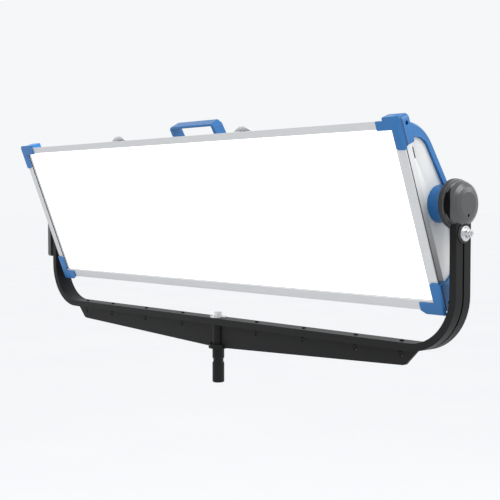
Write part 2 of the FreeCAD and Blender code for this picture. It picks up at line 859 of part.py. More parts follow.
def make_case():
    wall = D.case_wall

    def shell(name, inset, front, reach):
        body = new_body(name)
        rear = D.case_rear_depth - inset
        soft = D.case_chamfer
        outline = [
            (depth(front), inset - D.case_bottom), (depth(rear - soft), inset - D.case_bottom),
            (depth(rear), inset + soft - D.case_bottom), (depth(rear), D.case_top - inset - soft),
            (depth(rear - soft), D.case_top - inset), (depth(front), D.case_top - inset),
        ]
        pad_polygon(body, "YZ_Plane", outline, -reach, reach)
        return body

    outside = shell("case_outside", 0, D.case_front_depth, D.case_half_width)
    inside = shell("case_inside", wall, D.case_front_depth - 1, D.case_half_width - wall)
    rear = D.case_rear_depth

    def window(x, z, width, height):
        return block((x - width / 2, depth(rear - 6), z - height / 2),
                     (x + width / 2, depth(rear + 1), z + height / 2))

    openings = [
        window(-D.console_centre, 0, D.console_half_width * 2 - 12, D.console_half_height * 2 - 12),
        window(as_size(POWER_INLET[0]), POWER_INLET[1], 47, 27),
        window(as_size(POWER_SWITCH[0]), POWER_SWITCH[1], 19.2, 13),
        window(as_size(NETWORK_SOCKET[0]), NETWORK_SOCKET[1], 16, 14),
    ]
    for x, z in DATA_SOCKETS:
        openings.append(rod(12, (x, depth(rear - 6), z), 8, "y"))
    for count in range(12):
        openings.append(window(as_size(63 + 14 * count), 62, 6, 40))
    middle = (D.handle_foot_front + D.handle_foot_rear) / 2
    leg = D.handle_half_length - D.handle_leg / 2
    for sign in SIDES.values():
        openings.append(rod(2.1, (leg * sign, depth(middle), D.case_top - 10), 12))
    finish_head_part(cut(cut(outside, inside), *openings), "electronics_case")

    make_power_supply()


def make_power_supply():
    """A folded cover, open to the front, over a circuit board with its largest parts."""
    sheet_size = D.cover_sheet
    left, right = as_size(30), as_size(245)
    low, high = as_size(-100), as_size(30)
    front, rear = depth(66), depth(116)
    cover = block((left, front, low), (right, rear, high))
    inside = block((left + sheet_size, front - 1, low + sheet_size),
                   (right - sheet_size, rear - sheet_size, high - sheet_size))
    board = block((left + sheet_size + 1, front + 2, low + sheet_size + 1),
                  (right - sheet_size - 1, front + 4, high - sheet_size - 1))
    parts = [block((as_size(50), front + 4, as_size(-80)), (as_size(90), rear - 12, as_size(-30)))]
    parts += [rod(11, (as_size(120 + 28 * count), front + 4, as_size(-62)), 30, "y") for count in range(4)]
    parts += [block((as_size(110 + 34 * count), front + 4, as_size(-20)),
                    (as_size(128 + 34 * count), rear - 14, as_size(10))) for count in range(4)]
    finish_head_part(group(cut(cover, inside), fuse(board, *parts)), "power_supply")


def make_console():
    rear = D.case_rear_depth
    sheet_size = D.console_sheet
    centre = -D.console_centre
    plate = new_body("console_plate")
    half_width = D.console_half_width
    half_height = D.console_half_height
    pad_polygon(plate, "XZ_Plane", [
        (centre - half_width, -half_height), (centre + half_width, -half_height),
        (centre + half_width, half_height), (centre - half_width, half_height),
    ], depth(rear + 0.05), depth(rear + sheet_size))
    soften(plate, "Fillet", 6, lambda edge: along(edge, Y_AXIS))

    def rectangle(drawing, x, z, width, height):
        draw_polygon(drawing, [
            (x - width / 2, z - height / 2), (x + width / 2, z - height / 2),
            (x + width / 2, z + height / 2), (x - width / 2, z + height / 2),
        ])

    def openings(drawing):
        rectangle(drawing, *DISPLAY, *DISPLAY_SIZE)
        for x in BUTTON_COLUMNS.values():
            rectangle(drawing, x, -D.button_row, D.button_width + 0.8, D.button_height + 0.8)
        for row in KNOB_ROWS.values():
            draw_circle(drawing, (-D.knob_place, D.knob_pitch * row), 3 + D.running_gap)

    pocket(plate, "XZ_Plane", openings, depth(rear), depth(rear + sheet_size + 1))
    finish_head_part(plate, "control_panel")

    x, z = DISPLAY
    width, height = DISPLAY_SIZE
    window = block(
        (as_size(x - width / 2 + 0.1), depth(rear + 0.6), as_size(z - height / 2 + 0.1)),
        (as_size(x + width / 2 - 0.1), depth(rear + sheet_size - 0.4), as_size(z + height / 2 - 0.1)))
    finish_head_part(group(window), "display_window")

    for name, x in BUTTON_COLUMNS.items():
        cap_half = D.button_width / 2
        tall_half = D.button_height / 2
        low = -D.button_row
        cap = block((x - cap_half, depth(rear - 0.4), low - tall_half),
                    (x + cap_half, depth(rear + sheet_size + 2), low + tall_half))
        flange = block((x - cap_half - 1.5, depth(rear - 1.6), low - tall_half - 1.5),
                       (x + cap_half + 1.5, depth(rear - 0.4), low + tall_half + 1.5))
        finish_head_part(fuse(cap, flange), "menu_button_" + name)

    for name, row in KNOB_ROWS.items():
        knob = new_body("menu_knob_" + name)
        face = sheet_size + 0.3
        radius = D.knob_radius
        turned(knob, "XY_Plane", [
            (0, -8), (3, -8), (3, face), (radius, face), (radius, face + D.knob_length - 1.5),
            (radius - 1.5, face + D.knob_length), (0, face + D.knob_length),
        ], "V_Axis", (-D.knob_place, depth(rear), D.knob_pitch * row))
        finish_head_part(knob, "menu_knob_" + name)


def make_sockets():
    rear = D.case_rear_depth

    def flange(x, z, width, height, thickness=2):
        return block((as_size(x - width / 2), depth(rear + 0.05), as_size(z - height / 2)),
                     (as_size(x + width / 2), depth(rear + thickness), as_size(z + height / 2)))

    x, z = POWER_INLET
    switch_z = POWER_SWITCH[1]
    plate = block((as_size(x - 29), depth(rear + 0.05), as_size(z - 16)),
                  (as_size(x + 29), depth(rear + 2), as_size(switch_z + 11)))
    inlet = block((as_size(x - 23), depth(rear - 20), as_size(z - 13)),
                  (as_size(x + 23), depth(rear + 0.1), as_size(z + 13)))
    recess = block((as_size(x - 12), depth(rear - 14), as_size(z - 8)),
                   (as_size(x + 12), depth(rear + 5), as_size(z + 8)))
    switch_box = block((as_size(x - 9.4), depth(rear - 12), as_size(switch_z - 6.3)),
                       (as_size(x + 9.4), depth(rear + 0.1), as_size(switch_z + 6.3)))
    well = block((as_size(x - 8.4), depth(rear - 10), as_size(switch_z - 5.4)),
                 (as_size(x + 8.4), depth(rear + 5), as_size(switch_z + 5.4)))
    blades = [block((as_size(x + shift - 1), depth(rear - 16), as_size(z - 3)),
                    (as_size(x + shift + 1), depth(rear - 2), as_size(z + 3)))
              for shift in (-7, 0, 7)]
    body = cut(fuse(plate, inlet, switch_box), recess, well)
    finish_head_part(fuse(body, *blades), "power_inlet")

    sockets = []
    for x, z in DATA_SOCKETS:
        barrel = fuse(flange(x, z, 26, 31), rod(11.5, (x, depth(rear - 18), z), 18.2, "y"))
        mouth = rod(9, (x, depth(rear - 12), z), 20, "y")
        pins = [rod(1, (x + 5 * math.cos(math.radians(angle)), depth(rear - 13),
                        z + 5 * math.sin(math.radians(angle))), 9, "y")
                for angle in (-30, 40, 90, 140, 210)]
        sockets.append(fuse(cut(barrel, mouth), *pins))

    x, z = NETWORK_SOCKET
    shell = fuse(flange(x, z, 26, 31),
                 block((as_size(x - 7.8), depth(rear - 16), as_size(z - 6.8)),
                       (as_size(x + 7.8), depth(rear + 0.1), as_size(z + 6.8))))
    mouth = block((as_size(x - 6), depth(rear - 12), as_size(z - 4)),
                  (as_size(x + 6), depth(rear + 5), as_size(z + 4)))
    sockets.append(cut(shell, mouth))
    finish_head_part(group(*sockets), "signal_sockets")

    rocker = new_body("rocker_blank")
    x = POWER_SWITCH[0]
    pad_polygon(rocker, "XY_Plane", [
        (x - 7.6, depth(rear - 1.5)), (x - 3, depth(rear - 6.5)), (x + 3, depth(rear - 6.5)),
        (x + 7.6, depth(rear - 1.5)), (x + 6.6, depth(rear + 4.6)), (x + 1, depth(rear + 3)),
        (x - 7.6, depth(rear + 2.4)),
    ], as_size(switch_z - 5), as_size(switch_z + 5))
    trunnions = rod(1.5, (x, depth(rear - 1), switch_z - 5.3), 10.6)
    finish_head_part(fuse(rocker, trunnions), "power_switch")


# ---------------------------------------------------------------- handle, latches, diffuser

def make_handle():
    """A strap that leans forward over the case, screwed on from inside it."""
    foot = D.case_top + 0.05
    half = D.handle_half_length
    opening = half - D.handle_leg
    front = depth(D.handle_foot_front)
    rear = depth(D.handle_foot_rear)
    body = new_body("handle_blank")
    pad_polygon(body, "YZ_Plane", [
        (front, foot), (rear, foot), (depth(D.handle_top_rear), D.handle_top),
        (depth(D.handle_top_front), D.handle_front_top),
    ], -half, half)
    soften(body, "Fillet", 2.5, lambda edge: along(edge, X_AXIS) and (
        near(edge, z=D.handle_top) or near(edge, z=D.handle_front_top)))

    def outside_of_strap(drawing):
        draw_polygon(drawing, [
            (-opening, foot - 1), (opening, foot - 1),
            (opening, D.handle_underside), (-opening, D.handle_underside),
        ])
        for sign in SIDES.values():
            draw_polygon(drawing, [
                ((D.handle_half_flat - 1) * sign, D.handle_top + 1),
                ((half + 1) * sign, D.handle_shoulder - 1), ((half + 1) * sign, D.handle_top + 2),
            ])

    pocket(body, "XZ_Plane", outside_of_strap, depth(D.handle_top_front - 1), rear + 1)
    middle = (front + rear) / 2
    under_case_wall = D.case_top - D.case_wall - 0.05
    holes = []
    screws = []
    for sign in SIDES.values():
        x = (half + opening) / 2 * sign
        holes.append(rod(2, (x, middle, foot - 1), 15))
        head = rod(3.8, (x, middle, under_case_wall - 3), 3)
        screws.append(fuse(head, rod(2, (x, middle, under_case_wall - 1), 15)))
    finish_head_part(cut(body, *holes), "carry_handle")
    finish_head_part(group(*screws), "handle_screws")


def make_latches():
    """Sprung latches behind the rim's top edge, each on a pin between two lugs."""
    lugs = []
    pins = []
    seat = D.panel_half_height + 0.25
    pivot = seat + 5
    for side, sign in SIDES.items():
        x = as_size(LATCH_PLACE * sign)
        for lug in (-1, 1):
            start = x + 11 * lug - 1.5
            lugs.append(block((start, depth(14), seat), (start + 3, depth(28), seat + 9)))
        base = block((x - 12.5, depth(14), seat), (x + 12.5, depth(28), seat + 1))
        lugs.append(base)
        pins.append(rod(2, (x - 12.5, depth(21), pivot + 0.5), 25, "x"))
        body = new_body("latch_" + side)
        pad_polygon(body, "YZ_Plane", [
            (depth(18), pivot - 2.5), (depth(24), pivot - 2.5), (depth(25), pivot + 6),
            (depth(21), pivot + 10), (depth(17.5), pivot + 10), (depth(17.5), pivot - 1.5),
        ], x - 9, x + 9)
        pad_polygon(body, "XZ_Plane", [
            (x - 27, pivot + 8), (x + 27, pivot + 8), (x + 27, pivot + 10), (x + 8, pivot + 18.5),
            (x - 8, pivot + 18.5), (x - 27, pivot + 10),
        ], depth(15), depth(19))

        def pin_hole(drawing):
            draw_circle(drawing, (depth(21), pivot + 0.5), 2 + D.running_gap)

        pocket(body, "YZ_Plane", pin_hole, x - 10, x + 10)
        finish_head_part(body, "latch_" + side)
    base = fuse(*lugs)
    holes = [rod(2, (as_size(LATCH_PLACE * sign - 14), depth(21), pivot + 0.5), 28, "x")
             for sign in SIDES.values()]
    finish_head_part(fuse(cut(base, *holes), *pins), "latch_bases")


def make_diffuser():
    front = D.diffuser_front
    half = D.diffuser_half_width
    clear = D.diffuser_clear_half_width
    frame = new_body("diffuser_frame")
    pad_polygon(frame, "XZ_Plane", [
        (-half, -D.diffuser_bottom), (half, -D.diffuser_bottom),
        (half, D.diffuser_top), (-half, D.diffuser_top),
    ], depth(front), depth(front + D.diffuser_frame_depth))

    def window(drawing):
        draw_polygon(drawing, [
            (-clear, -D.diffuser_clear_bottom), (clear, -D.diffuser_clear_bottom),
            (clear, D.diffuser_clear_top), (-clear, D.diffuser_clear_top),
        ])

    pocket(frame, "XZ_Plane", window, depth(front - 1), depth(front + D.diffuser_frame_depth + 1))
    finish_head_part(frame, "diffuser_frame")
    sheet_front = front + 0.6
    opal = block((-clear, depth(sheet_front), -D.diffuser_clear_bottom),
                 (clear, depth(sheet_front + D.diffuser_sheet_depth), D.diffuser_clear_top))
    finish_head_part(group(opal), "diffuser_sheet")


def make_safety_eyelet():
    rear = D.case_rear_depth
    foot = block((as_size(-14), depth(rear + 0.05), as_size(86)), (as_size(14), depth(rear + 4), as_size(122)))
    tab = block((as_size(-3), depth(rear + 3), as_size(90)), (as_size(3), depth(rear + 26), as_size(118)))
    hole = rod(8, (as_size(-4), depth(rear + 14), as_size(104)), 8, "x")
    finish_head_part(cut(fuse(foot, tab), hole), "safety_eyelet")


# ---------------------------------------------------------------- tilt joint

def make_tilt_joint():
    bore = D.axle_radius
    running = D.axle_radius + D.running_gap
    hubs = []
    axles = []
    discs = []
    screws = []
    bushes = []
    for side, sign in SIDES.items():
        hub = new_body("hub_blank")
        start = D.panel_half_width
        end = D.disc_start - 0.1
        radius = D.hub_radius
        lip = D.hub_radius + D.hub_lip
        outline = [
            (start, bore), (start, lip - 1), (start + 1, lip), (start + 3, lip),
            (start + 5, radius), (end - 6, radius), (end - 4, lip - 0.5), (end, lip - 0.5),
            (end, bore),
        ]
        turned(hub, "XY_Plane", [(x * sign, y) for x, y in outline])
        screw_holes = []
        for turn in range(4):
            angle = math.radians(45 + 90 * turn)
            y = 26 * math.cos(angle)
            z = 26 * math.sin(angle)
            low, high = sorted((start * sign, (start + 14) * sign), key=lambda size: size.value)
            screw_holes.append(rod(2.5, (low, y, z), high - low, "x"))
            inside = start - D.panel_sheet
            low, high = sorted((inside * sign, (start + 13) * sign), key=lambda size: size.value)
            shank = rod(2.5, (low, y, z), high - low, "x")
            low, high = sorted(((inside - 3) * sign, inside * sign), key=lambda size: size.value)
            screws.append(fuse(shank, rod(4.5, (low, y, z), high - low, "x")))
        hubs.append(cut(hub, *screw_holes))

        axle = new_body("axle_" + side)
        inside = start - D.panel_sheet
        stud_room = 5 + D.running_gap if side == "left" else 3
        outline = [
            (inside - 4, 0), (inside - 4, 18), (inside, 18), (inside, bore),
            (D.yoke_half_width + 1, bore), (D.yoke_half_width + 1, stud_room),
            (D.yoke_half_width - 24, stud_room), (D.yoke_half_width - 24, 0),
        ]
        turned(axle, "XY_Plane", [(x * sign, y) for x, y in outline])
        axles.append(axle)

        disc = new_body("disc_" + side)
        inner_face = D.yoke_half_width - D.yoke_thickness
        outline = [
            (D.disc_start, running), (D.disc_start, D.disc_radius - 1.5),
            (D.disc_start + 1.5, D.disc_radius), (inner_face - 1.5, D.disc_radius),
            (inner_face, D.disc_radius - 1.5), (inner_face, running),
        ]
        turned(disc, "XY_Plane", [(x * sign, y) for x, y in outline])
        discs.append(disc)

        low, high = sorted((inner_face * sign, D.yoke_half_width * sign), key=lambda size: size.value)
        bushes.append(cut(rod(D.bush_radius, (low, 0, 0), high - low, "x"),
                          rod(running, (low, 0, 0), high - low, "x")))
    finish_head_part(group(*hubs), "tilt_hubs")
    finish_head_part(group(*axles), "tilt_axles")
    finish_head_part(group(*screws), "hub_screws")
    finish_axis_part(group(*discs), "friction_discs")
    finish_axis_part(group(*bushes), "tilt_bushes")


def make_yoke_caps():
    """Domed castings over the ends of the arms."""
    face = D.cap_reach
    inner_face = D.yoke_half_width - D.yoke_thickness
    room = D.yoke_depth / 2 + 0.05
    for side, sign in SIDES.items():
        dome = new_body("cap_dome_" + side)
        dome_radius = D.cap_dome_radius
        outline = [
            (inner_face + 0.05, 0), (inner_face + 0.05, D.cap_radius), (inner_face + 2.5, D.cap_radius),
            (inner_face + 3, dome_radius), (face - 14, dome_radius - 1), (face - 7, dome_radius - 5),
            (face - 2, dome_radius - 12.5), (face, dome_radius - 21.5), (face, 0),
        ]
        turned(dome, "XY_Plane", [(x * sign, y) for x, y in outline])

        def span(start, end):
            return sorted((start * sign, end * sign), key=lambda size: size.value)

        low, high = span(inner_face - 1, D.yoke_half_width + 0.05)
        arm_room = block((low, -room, as_size(-60)), (high, room, room))
        low, high = span(inner_face, D.yoke_half_width + 2)
        axle_room = rod(D.axle_radius + 3, (low, 0, 0), high - low, "x")
        low, high = span(inner_face + 3, inner_face + 12)
        recess = rod(24, (low, -D.cap_radius - 6, as_size(2)), high - low, "x")
        tools = [arm_room, axle_room, recess]
        if side == "left":
            low, high = span(inner_face, face + 1)
            tools.append(rod(6, (low, 0, 0), high - low, "x"))
        else:
            low, high = span(face - 3, face + 1)
            tools.append(rod(3, (low, 0, as_size(-21)), high - low, "x"))
            low, high = span(D.yoke_half_width - 0.1, face + 1)
            tools.append(rod(D.clamp_washer_radius + 0.3, (low, 0, -D.clamp_drop), high - low, "x"))
        finish_axis_part(cut(dome, *tools), "yoke_cap_" + side)


def make_tilt_lock():
    lever = new_body("lever_blank")
    grip_drop = 149
    pad_polygon(lever, "YZ_Plane", [
        (-21, 10), (-12, 21), (12, 21), (21, 10), (21, 4 - grip_drop),
        (17, -grip_drop), (-17, -grip_drop), (-21, 4 - grip_drop),
    ], -D.cap_reach - D.lever_reach, -D.cap_reach - 4)
    soften(lever, "Chamfer", 1.5, lambda edge: near(edge, x=D.cap_reach + D.lever_reach))
    boss = rod(18, (-D.cap_reach - 5, 0, 0), 4.7, "x")
    stud = rod(5, (-D.cap_reach - 1, 0, 0), 33, "x")
    finish_axis_part(fuse(lever, boss, stud), "tilt_lock_lever")


# ---------------------------------------------------------------- yoke

def u_band(outer_inset, inner_inset, top):
    """Straight-sided outline of a U-shaped band, with its corners as single points."""
    outer = D.yoke_half_width - outer_inset
    inner = D.yoke_half_width - inner_inset
    low = D.yoke_underside + outer_inset
    floor = D.yoke_underside + inner_inset
    return [(-outer, top), (-outer, low), (outer, low), (outer, top),
            (inner, top), (inner, floor), (-inner, floor), (-inner, top)]


def make_u_body(name, outer_inset, inner_inset, top, half_depth):
    body = new_body(name)
    pad_polygon(body, "XZ_Plane", u_band(outer_inset, inner_inset, top), -half_depth, half_depth)
    outer_radius = D.yoke_inner_radius + D.yoke_thickness
    soften(body, "Fillet", outer_radius - outer_inset, lambda edge: (
        along(edge, Y_AXIS) and near(edge, x=D.yoke_half_width - outer_inset,
                                     z=D.yoke_underside + outer_inset)))
    soften(body, "Fillet", outer_radius - inner_inset, lambda edge: (
        along(edge, Y_AXIS) and near(edge, x=D.yoke_half_width - inner_inset,
                                     z=D.yoke_underside + inner_inset)))
    return body


def make_yoke_bar():
    half = D.yoke_depth / 2
    top = D.pivot_height + half
    bar = make_u_body("yoke_extrusion", as_size(0), D.yoke_thickness, top, half)
    soften(bar, "Fillet", half - 0.5, lambda edge: along(edge, X_AXIS) and near(edge, z=top))
    groove_top = D.pivot_height - D.clamp_drop - 18
    slot = make_u_body("groove_slot", as_size(-1), D.groove_depth, groove_top, D.groove_width / 2)
    undercut = make_u_body("groove_undercut", D.groove_depth - 0.5, D.groove_depth + 3.5,
                           groove_top, D.groove_undercut / 2)
    under = D.yoke_underside
    drills = [rod(D.bolt_radius, (0, 0, under - 1), 20)]
    for place in BEAM_BOLT_PLACES:
        for sign in SIDES.values():
            drills.append(rod(D.beam_bolt_radius + 0.2, (place * sign, 0, under - 1), 20))
    for sign in SIDES.values():
        low, high = sorted(((D.yoke_half_width + 1) * sign, (D.yoke_half_width - 18) * sign),
                           key=lambda size: size.value)
        drills.append(rod(D.bush_radius, (low, 0, D.pivot_height), high - low, "x"))
    clamp_level = D.pivot_height - D.clamp_drop
    drills.append(rod(4.1, (D.yoke_half_width - 18, 0, clamp_level), 20, "x"))
    finish_yoke_part(cut(bar, slot, undercut, *drills), "yoke_bar")


def make_beams():
    half = D.beam_sheet / 2
    slot = D.beam_slot_width / 2
    top = D.yoke_underside
    plates = []
    nuts = []
    bolts = []
    for side, sign in SIDES.items():
        body = new_body("plate_blank")
        outline = [
            (D.beam_inner_end, D.beam_low), (D.beam_low_end - 8, D.beam_end_low - 1),
            (D.beam_low_end, D.beam_end_low + 1), (D.beam_end, top), (D.beam_inner_end, top),
        ]
        pad_polygon(body, "XZ_Plane", [(x * sign, z) for x, z in outline], -half, half)

        def slots(drawing):
            for place in BEAM_BOLT_PLACES:
                x = place * sign
                draw_polygon(drawing, [
                    (x - slot, D.beam_slot_bottom), (x + slot, D.beam_slot_bottom),
                    (x + slot, 46), (x + 6, 46), (x + 6, 51), (x + slot, 51), (x + slot, top + 1),
                    (x - slot, top + 1), (x - slot, 51), (x - 6, 51), (x - 6, 46), (x - slot, 46),
                ])

        pocket(body, "XZ_Plane", slots, -half - 1, half + 1)
        collar_room = rod(D.collar_radius + 0.3, (0, 0, D.beam_low - 1), 12)
        plates.append(cut(body, collar_room))
        for place in BEAM_BOLT_PLACES:
            x = as_size(place * sign)
            radius = D.beam_bolt_radius
            nut = block((x - 5.5, -half, as_size(46.3)), (x + 5.5, half, as_size(50.9)))
            nuts.append(cut(nut, rod(radius, (x, 0, as_size(46)), 6)))
            head = rod(4.5, (x, 0, top + D.yoke_thickness), 2)
            crown = rod(3.2, (x, 0, top + D.yoke_thickness + 2), 1)
            bolts.append(fuse(head, crown, rod(radius, (x, 0, as_size(43)), top + D.yoke_thickness - 42.5)))
    finish_yoke_part(group(*plates), "beam_plates")
    finish_yoke_part(group(*nuts), "beam_nuts")
    finish_yoke_part(group(*bolts), "beam_bolts")


def make_spigot():
    body = new_body("spigot")
    radius = D.spigot_radius
    tip = -D.spigot_length
    collar = D.collar_radius
    turned(body, "XZ_Plane", [
        (0, tip), (radius - 2, tip), (radius, tip + 2), (radius, -34), (radius - 2, -31),
        (radius - 2, -25), (radius, -22), (radius, 0), (collar - 1, 0), (collar, 1),
        (collar, D.collar_height - 1), (collar - 1, D.collar_height),
        (radius - 0.5, D.collar_height), (radius - 0.5, D.yoke_underside),
        (D.bolt_radius, D.yoke_underside),
        (D.bolt_radius, 30), (0, 30),
    ], "V_Axis")
    finish_yoke_part(body, "spigot")

    bar_top = D.yoke_underside + D.yoke_thickness
    washer = cut(rod(20, (0, 0, bar_top), 3), rod(D.bolt_radius, (0, 0, bar_top - 1), 5))
    finish_yoke_part(washer, "spigot_washer")
    head = new_body("bolt_head")
    across_corners = 18.5 / 2
    corners = [(across_corners * math.cos(math.radians(60 * turn)),
                across_corners * math.sin(math.radians(60 * turn))) for turn in range(6)]
    pad_polygon(head, "XY_Plane", corners, bar_top + 3, bar_top + 13)
    shank = rod(D.bolt_radius, (0, 0, as_size(33)), bar_top - 29)
    finish_yoke_part(fuse(head, shank), "spigot_bolt")


def make_clamp():
    level = D.pivot_height - D.clamp_drop
    face = D.yoke_half_width
    washer = cut(rod(D.clamp_washer_radius, (face, 0, level), 2, "x"), rod(4.1, (face - 1, 0, level), 4, "x"))
    finish_yoke_part(washer, "clamp_washer")
    flange = rod(14.3, (face + 2, 0, level), 3, "x")
    neck = rod(8.5, (face + 4, 0, level), 9, "x")
    tip = rod(6.5, (face + 12, 0, level), 5.5, "x")
    socket = rod(3.4, (face + 12.5, 0, level), 6, "x")
    shank = rod(4, (face - D.yoke_thickness + 0.5, 0, level), D.yoke_thickness + 3, "x")
    finish_yoke_part(cut(fuse(flange, neck, tip, shank), socket), "clamp_screw")


# ---------------------------------------------------------------- build, check, write

make_rim()
make_corner_brackets()
make_side_panels()
make_side_bumpers()
make_covers()
make_light_chamber()
make_led_engine()
make_heat_sinks()
make_fans()
make_case()
make_console()
make_sockets()
make_handle()
make_latches()
make_diffuser()
make_safety_eyelet()
make_tilt_joint()
make_yoke_caps()
make_tilt_lock()
make_yoke_bar()
make_beams()
make_spigot()
make_clamp()
doc.recompute()

for item in doc.Objects:
    if "Invalid" in item.State or "Error" in item.State:
        raise RuntimeError(f"{item.Name} ({item.Label}) failed: {item.State}")
for piece in SUBPARTS:
    if piece.Shape.isNull() or not piece.Shape.isValid() or not piece.Shape.Solids:
        raise RuntimeError(f"{piece.Label} has no valid solid")

os.makedirs("parts", exist_ok=True)
for piece in SUBPARTS:
    piece.Shape.exportStep(f"parts/{piece.Label}.step")
    print(piece.Label, len(piece.Shape.Solids), round(piece.Shape.Volume))
print(len(SUBPARTS), "sub-parts")
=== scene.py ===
"""The strip soft light's look, piece by piece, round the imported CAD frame. Lengths are in metres."""

import json
import math

import bmesh
import bpy
from mathutils import Matrix, Vector


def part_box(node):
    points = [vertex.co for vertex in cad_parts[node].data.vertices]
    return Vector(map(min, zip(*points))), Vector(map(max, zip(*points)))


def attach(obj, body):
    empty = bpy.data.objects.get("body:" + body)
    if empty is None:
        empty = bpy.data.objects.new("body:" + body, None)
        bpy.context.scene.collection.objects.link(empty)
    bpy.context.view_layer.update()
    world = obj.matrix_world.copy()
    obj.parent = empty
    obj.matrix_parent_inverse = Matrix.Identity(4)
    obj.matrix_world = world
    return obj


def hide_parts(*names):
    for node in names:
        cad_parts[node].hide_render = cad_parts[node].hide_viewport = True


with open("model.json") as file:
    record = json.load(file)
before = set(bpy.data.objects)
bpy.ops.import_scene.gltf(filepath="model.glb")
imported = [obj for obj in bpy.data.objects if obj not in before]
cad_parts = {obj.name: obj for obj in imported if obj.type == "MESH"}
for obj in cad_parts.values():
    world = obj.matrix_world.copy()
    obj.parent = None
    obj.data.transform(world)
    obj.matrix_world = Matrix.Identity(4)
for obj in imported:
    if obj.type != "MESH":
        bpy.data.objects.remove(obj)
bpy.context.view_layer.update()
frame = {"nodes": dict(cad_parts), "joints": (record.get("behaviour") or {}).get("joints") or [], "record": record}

MM = 0.001
NODES = frame["nodes"]
RECORD = frame["record"]

# ---------------------------------------------------------------- the head's own axes

JOINTS = {joint["name"]: joint for joint in frame["joints"]}
PIVOT = Vector(JOINTS["head_tilt"]["pos_m"])
HEAD_UP = Vector(JOINTS["diffuser_slide"]["axis"]).normalized()
HEAD_RIGHT = Vector((1, 0, 0))
HEAD_BACK = HEAD_UP.cross(HEAD_RIGHT)
AXIS_DEPTH = 76 * MM  # from the front plane of the rim back to the tilt axis


def on_head(across, deep, up):
    """A point given as millimetres right of the middle, behind the rim's front and above the tilt axis."""
    return (PIVOT + HEAD_RIGHT * (across * MM) + HEAD_BACK * (deep * MM - AXIS_DEPTH)
            + HEAD_UP * (up * MM))


# ---------------------------------------------------------------- camera

CAMERA_PLACE = Vector((1.8860, -1.5658, 0.3408))
CAMERA_AZIMUTH = math.radians(48.565)
CAMERA_PITCH = math.radians(-2.594)
CAMERA_LENS = 75.65  # millimetres, on a sensor 36 mm wide


def make_camera():
    data = bpy.data.cameras.new("camera")
    data.lens = CAMERA_LENS
    data.sensor_width = 36.0
    data.clip_start = 0.05
    data.clip_end = 500
    camera = bpy.data.objects.new("camera", data)
    bpy.context.scene.collection.objects.link(camera)
    camera.location = CAMERA_PLACE
    camera.rotation_euler = (math.pi / 2 + CAMERA_PITCH, 0, CAMERA_AZIMUTH)
    bpy.context.scene.camera = camera


# ---------------------------------------------------------------- node helpers

class Nodes:
    """A material's node tree, with short ways to add what these finishes use."""

    def __init__(self, name):
        self.material = bpy.data.materials.new(name)
        self.material.use_nodes = True
        self.tree = self.material.node_tree
        self.shader = self.tree.nodes["Principled BSDF"]
        self.place = self.add("ShaderNodeTexCoord").outputs["Object"]

    def add(self, kind, **settings):
        node = self.tree.nodes.new(kind)
        for key, value in settings.items():
            setattr(node, key, value)
        return node

    def link(self, output, socket):
        self.tree.links.new(output, socket)

    def set(self, **values):
        for name, value in values.items():
            self.shader.inputs[name.replace("_", " ")].default_value = value

    def stretched(self, scale=(1, 1, 1), turn=(0, 0, 0)):
        """The object's coordinates, turned and scaled for a grain that runs one way."""
        mapping = self.add("ShaderNodeMapping")
        mapping.inputs["Rotation"].default_value = turn
        mapping.inputs["Scale"].default_value = scale
        self.link(self.place, mapping.inputs["Vector"])
        return mapping.outputs["Vector"]

    def noise(self, scale, detail=3.0, rough=0.55, place=None):
        node = self.add("ShaderNodeTexNoise")
        node.inputs["Scale"].default_value = scale
        node.inputs["Detail"].default_value = detail
        node.inputs["Roughness"].default_value = rough
        self.link(place or self.place, node.inputs["Vector"])
        return node.outputs["Fac"]

    def cells(self, scale, place=None):
        node = self.add("ShaderNodeTexVoronoi")
        node.inputs["Scale"].default_value = scale
        self.link(place or self.place, node.inputs["Vector"])
        return node.outputs["Distance"]

    def ramp(self, value, low, high, start=0.0, end=1.0):
        """Maps a value from start..end to low..high, numbers or colours."""
        if isinstance(low, (int, float)):
            node = self.add("ShaderNodeMapRange")
            for name, number in (("From Min", start), ("From Max", end), ("To Min", low), ("To Max", high)):
                node.inputs[name].default_value = number
            self.link(value, node.inputs["Value"])
            return node.outputs["Result"]
        node = self.add("ShaderNodeValToRGB")
        node.color_ramp.elements[0].position = start
        node.color_ramp.elements[1].position = end
        node.color_ramp.elements[0].color = (*low, 1)
        node.color_ramp.elements[1].color = (*high, 1)
        self.link(value, node.inputs["Fac"])
        return node.outputs["Color"]

    def edges(self, start=0.52, end=0.62):
        """1 along outside edges and 0 on flats, for edges painted lighter: painted highlight, with some wear."""
        geometry = self.add("ShaderNodeNewGeometry")
        return self.ramp(geometry.outputs["Pointiness"], 0.0, 1.0, start, end)

    def mix(self, share, first, second, blend="MIX"):
        node = self.add("ShaderNodeMix", data_type="RGBA", blend_type=blend)
        for socket, value in ((node.inputs["Factor"], share), (node.inputs["A"], first),
                              (node.inputs["B"], second)):
            self.feed(value, socket)
        return node.outputs["Result"]

    def math(self, operation, first, second):
        node = self.add("ShaderNodeMath", operation=operation)
        self.feed(first, node.inputs[0])
        self.feed(second, node.inputs[1])
        return node.outputs["Value"]

    def feed(self, value, socket):
        if isinstance(value, bpy.types.NodeSocket):
            self.link(value, socket)
        elif isinstance(value, tuple):
            socket.default_value = (*value, 1)
        else:
            socket.default_value = value

    def colour(self, output):
        self.link(output, self.shader.inputs["Base Color"])

    def roughness(self, output):
        self.link(output, self.shader.inputs["Roughness"])

    def bump(self, height, depth, strength=1.0, below=None):
        node = self.add("ShaderNodeBump")
        node.inputs["Strength"].default_value = strength
        node.inputs["Distance"].default_value = depth
        self.link(height, node.inputs["Height"])
        if below is not None:
            self.link(below, node.inputs["Normal"])
        self.link(node.outputs["Normal"], self.shader.inputs["Normal"])
        return node.outputs["Normal"]


